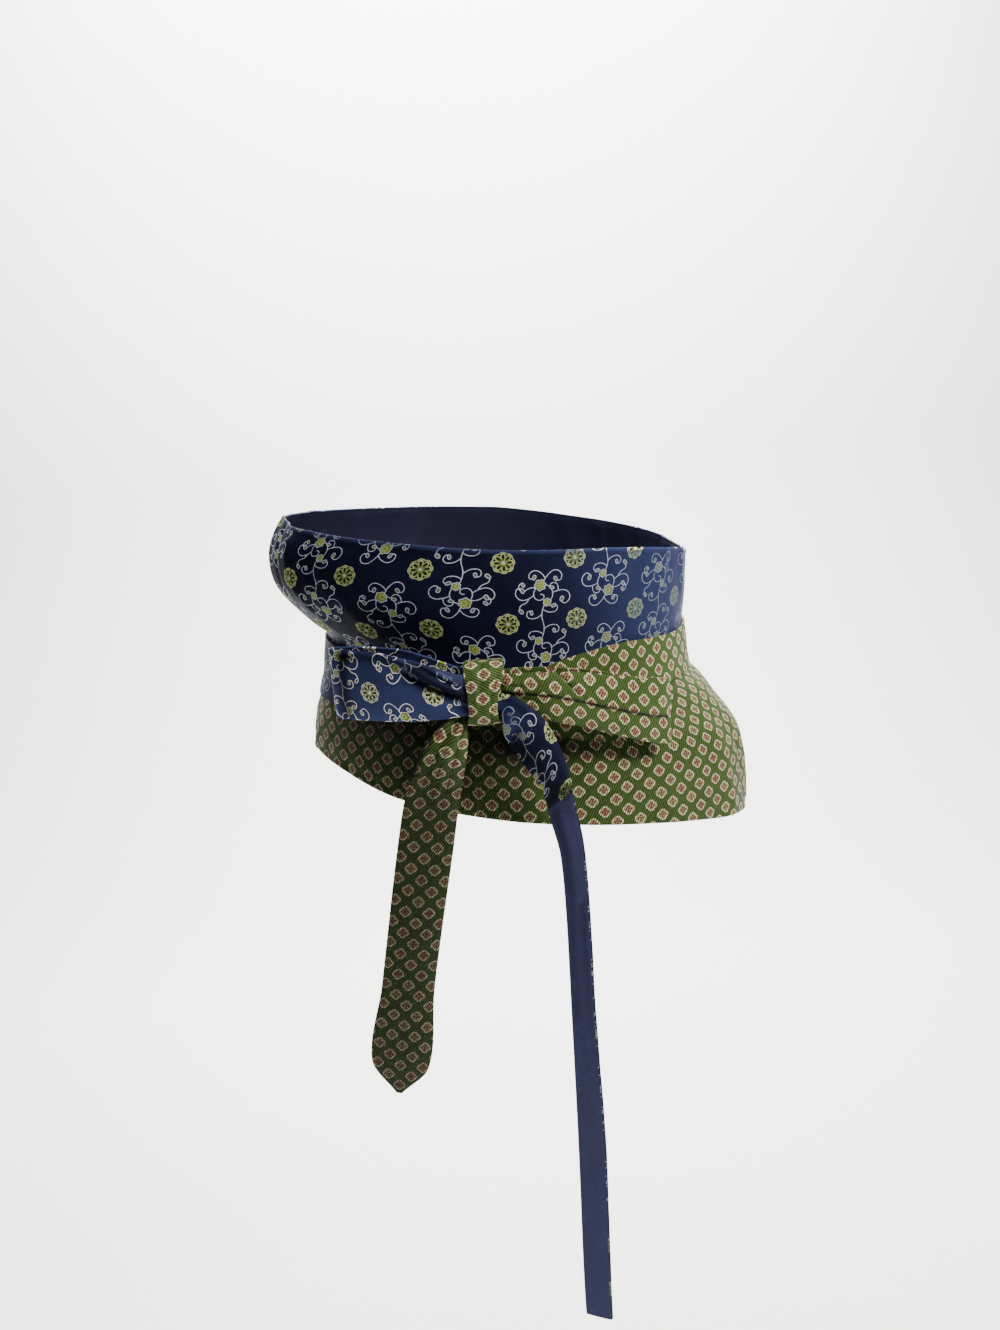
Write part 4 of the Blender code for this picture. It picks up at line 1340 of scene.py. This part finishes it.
class SASH_OT_panels(bpy.types.Operator):
    """Make the wide wrap: the navy panel above and the green panel below"""
    bl_idname = "sash.panels"
    bl_label = "Wrap panels"

    def execute(self, context):
        look = context.scene.sash_look
        sizes = context.scene.sash_sizes
        navy = lay_cloth(
            "navy_panel_silk", PANEL_WEAVE, upper_panel_point, navy_panel_relief, NAVY_PANEL_LIE,
            sizes.wall, -1, navy_finishes(look), closed=True, start_row=0, painted_sheen=navy_panel_painted_sheen
        )
        dress(navy, "navy_panel")
        green = lay_cloth(
            "green_panel_silk", LOWER_WEAVE, lower_panel_point, green_panel_relief, GREEN_PANEL_LIE,
            sizes.wall, -1, green_finishes(look), closed=True, start_row=18,
            # Painted shade: the whole panel is painted a little darker than the bow, and darker in the
            # bow's cast shadow
            dark=painted_shade(GREEN_PANEL_DARK, GREEN_PANEL_SPREAD, 0.22)
        )
        dress(green, "green_panel")
        return {"FINISHED"}


class SASH_OT_ties(bpy.types.Operator):
    """Make the two waist ties that lie on the wrap from the knot round to the back"""
    bl_idname = "sash.ties"
    bl_label = "Waist ties"

    def execute(self, context):
        look = context.scene.sash_look
        sizes = context.scene.sash_sizes
        navy = lay_cloth(
            "navy_tie_silk", TIE_WEAVE, navy_tie_point, tie_relief(NAVY_TIE_LINES, 2.5), NAVY_TIE_LIE,
            sizes.wall, -1, navy_finishes(look), painted_sheen=even_painted_sheen(0.3)
        )
        dress(navy, "navy_tie")
        green = lay_cloth(
            "green_tie_silk", TIE_WEAVE, green_tie_point, tie_relief(GREEN_TIE_LINES, 5.5), GREEN_TIE_LIE,
            sizes.wall, -1, green_finishes(look)
        )
        dress(green, "green_tie")
        return {"FINISHED"}


class SASH_OT_knot(bpy.types.Operator):
    """Make the turn of green silk round the middle of the bow"""
    bl_idname = "sash.knot"
    bl_label = "Knot"

    def execute(self, context):
        look = context.scene.sash_look
        knot = lay_cloth(
            "knot_silk", KNOT_WEAVE, knot_point, knot_relief, KNOT_LIE,
            context.scene.sash_sizes.wall, -1, green_finishes(look), closed=True,
            dark=painted_shade(KNOT_DARK, KNOT_SPREAD)
        )
        dress(knot, "knot")
        return {"FINISHED"}


class SASH_OT_loops(bpy.types.Operator):
    """Make the two loops of the bow, each a strip that folds back behind itself"""
    bl_idname = "sash.loops"
    bl_label = "Bow loops"

    def execute(self, context):
        look = context.scene.sash_look
        sizes = context.scene.sash_sizes
        navy = lay_cloth(
            "navy_loop_silk", LOOP_WEAVE, navy_loop_point, strip_relief(NAVY_LOOP_LINES, 3.5, 0.4),
            NAVY_LOOP_LIE, sizes.wall, 0, navy_finishes(look)[:1], facing=-1, painted_sheen=navy_loop_painted_sheen,
            reverse=navy_loop_reverse, dark=painted_shade(NAVY_LOOP_DARK, NAVY_LOOP_SPREAD)
        )
        dress(navy, "navy_loop")
        green = lay_cloth(
            "green_loop_silk", LOOP_WEAVE, green_loop_point, strip_relief(GREEN_LOOP_LINES, 6.5, 0.4),
            GREEN_LOOP_LIE, sizes.wall, 0, green_finishes(look)[:1],
            dark=painted_shade(GREEN_LOOP_DARK, GREEN_LOOP_SPREAD)
        )
        dress(green, "green_loop")
        return {"FINISHED"}


class SASH_OT_tails(bpy.types.Operator):
    """Make the two hanging tails: the flat green one and the navy one that is folded lengthwise"""
    bl_idname = "sash.tails"
    bl_label = "Tails"

    def execute(self, context):
        look = context.scene.sash_look
        sizes = context.scene.sash_sizes
        green = lay_cloth(
            "green_tail_silk", GREEN_TAIL_WEAVE, green_tail_point, strip_relief(GREEN_TAIL_LINES, 8.5, 0.5),
            GREEN_TAIL_LIE, sizes.tail_wall, 0, green_finishes(look)[:1],
            dark=painted_shade(GREEN_TAIL_DARK, GREEN_TAIL_SPREAD)
        )
        dress(green, "green_tail")
        navy = lay_cloth(
            "navy_tail_silk", NAVY_TAIL_WEAVE, navy_tail_point, strip_relief(NAVY_TAIL_LINES, 9.5, 0.2),
            NAVY_TAIL_LIE, sizes.wall, 0, navy_finishes(look)[:1], painted_sheen=navy_tail_painted_sheen, reverse=tail_reverse,
            dark=painted_shade(NAVY_TAIL_DARK, NAVY_TAIL_SPREAD)
        )
        dress(navy, "navy_tail")
        return {"FINISHED"}


class SASH_OT_stage(bpy.types.Operator):
    """Set the plain floor and backdrop, the soft lights and the camera"""
    bl_idname = "sash.stage"
    bl_label = "Studio"

    def execute(self, context):
        look = context.scene.sash_look
        floor = seamless_sweep(studio_paper(look))
        for light in LIGHTS:
            add_softbox(light)
        set_world(look)
        place_camera()
        return {"FINISHED"}


def seamless_sweep(paper):
    """A floor that rises into a backdrop in one smooth bend."""
    shape = bmesh.new()
    wide = 4.5
    near = -4.0
    bend_start = 1.2
    bend_radius = 1.0
    floor = FLOOR_HEIGHT * MM
    verts = [shape.verts.new((-wide, near, floor)), shape.verts.new((-wide, bend_start, floor))]
    shape.edges.new(verts)
    bmesh.ops.spin(
        shape, geom=[verts[1]], cent=(-wide, bend_start, floor + bend_radius), axis=(1, 0, 0),
        dvec=(0, 0, 0), angle=math.radians(90), steps=16, use_duplicate=False
    )
    shape.verts.ensure_lookup_table()
    top = max(shape.verts, key=lambda vert: (vert.co.y, vert.co.z))
    raised = bmesh.ops.extrude_vert_indiv(shape, verts=[top])["verts"]
    bmesh.ops.translate(shape, verts=raised, vec=(0, 0, 3.5))
    edges = list(shape.edges)
    across = bmesh.ops.extrude_edge_only(shape, edges=edges)["geom"]
    moved = [part for part in across if isinstance(part, bmesh.types.BMVert)]
    bmesh.ops.translate(shape, verts=moved, vec=(2 * wide, 0, 0))
    bmesh.ops.recalc_face_normals(shape, faces=shape.faces)
    shape.normal_update()
    lowest = min(shape.faces, key=lambda face: face.calc_center_median().z)
    if lowest.normal.z < 0:
        bmesh.ops.reverse_faces(shape, faces=shape.faces)
    mesh = bpy.data.meshes.new("studio_sweep")
    shape.to_mesh(mesh)
    shape.free()
    mesh.shade_smooth()
    mesh.materials.append(paper)
    sweep = bpy.data.objects.new("studio_sweep", mesh)
    bpy.context.scene.collection.objects.link(sweep)
    return sweep


def add_softbox(light):
    """One large soft light that faces its aim."""
    data = bpy.data.lights.new(light.name, "AREA")
    data.shape = "SQUARE"
    data.size = light.size * MM
    data.energy = light.power
    data.color = linear_colour(light.colour)
    lamp = bpy.data.objects.new(light.name, data)
    bpy.context.scene.collection.objects.link(lamp)
    place = Vector(light.place) * MM
    aim = Vector(light.aim) * MM
    lamp.location = place
    lamp.rotation_euler = (aim - place).to_track_quat("-Z", "Y").to_euler()


def set_world(look):
    """A dim even surround that fills the shadows."""
    world = bpy.data.worlds.new("studio_surround")
    world.use_nodes = True
    surround = world.node_tree.nodes["Background"]
    surround.inputs["Color"].default_value = (*look.paper, 1.0)
    surround.inputs["Strength"].default_value = 0.06
    bpy.context.scene.world = world


def place_camera():
    """The photograph's viewpoint: level with the upper panel, tilted down and slightly rolled."""
    pitch = math.radians(CAMERA_PITCH)
    roll = math.radians(CAMERA_ROLL)
    forward = Vector((0, math.cos(pitch), -math.sin(pitch)))
    level_down = Vector((0, -math.sin(pitch), -math.cos(pitch)))
    right = math.cos(roll) * Vector((1, 0, 0)) + math.sin(roll) * level_down
    down = -math.sin(roll) * Vector((1, 0, 0)) + math.cos(roll) * level_down
    data = bpy.data.cameras.new("photo_camera")
    data.sensor_width = SENSOR
    data.lens = FOCAL_PIXELS / max(IMAGE_SIZE) * SENSOR
    data.clip_start = 0.01
    camera = bpy.data.objects.new("photo_camera", data)
    bpy.context.scene.collection.objects.link(camera)
    turn = Matrix((right, -down, -forward)).transposed().to_4x4()
    camera.matrix_world = Matrix.Translation(Vector(CAMERA_PLACE) * MM) @ turn
    bpy.context.scene.camera = camera


PARTS = (SASH_OT_panels, SASH_OT_ties, SASH_OT_knot, SASH_OT_loops, SASH_OT_tails, SASH_OT_stage)


class SASH_PT_parts(bpy.types.Panel):
    """The sash's pieces, sizes and colours"""
    bl_idname = "SASH_PT_parts"
    bl_label = "Worn obi sash"
    bl_space_type = "VIEW_3D"
    bl_region_type = "UI"
    bl_category = "Sash"

    def draw(self, context):
        for part in PARTS:
            self.layout.operator(part.bl_idname)
        for group in (context.scene.sash_sizes, context.scene.sash_look):
            box = self.layout.box()
            for name in group.__annotations__:
                box.prop(group, name)


CLASSES = (SashLook, SashSizes, *PARTS, SASH_PT_parts)


def register():
    """Make the sash's operators, panel and settings known."""
    for kind in CLASSES:
        bpy.utils.register_class(kind)
    bpy.types.Scene.sash_look = bpy.props.PointerProperty(type=SashLook)
    bpy.types.Scene.sash_sizes = bpy.props.PointerProperty(type=SashSizes)


def unregister():
    """Take the sash's settings, panel and operators away again."""
    del bpy.types.Scene.sash_sizes
    del bpy.types.Scene.sash_look
    for kind in reversed(CLASSES):
        bpy.utils.unregister_class(kind)


def main():
    """Dress every piece and set the studio."""
    register()
    bpy.ops.sash.panels()
    bpy.ops.sash.ties()
    bpy.ops.sash.knot()
    bpy.ops.sash.loops()
    bpy.ops.sash.tails()
    bpy.ops.sash.stage()


if __name__ == "__main__":
    main()
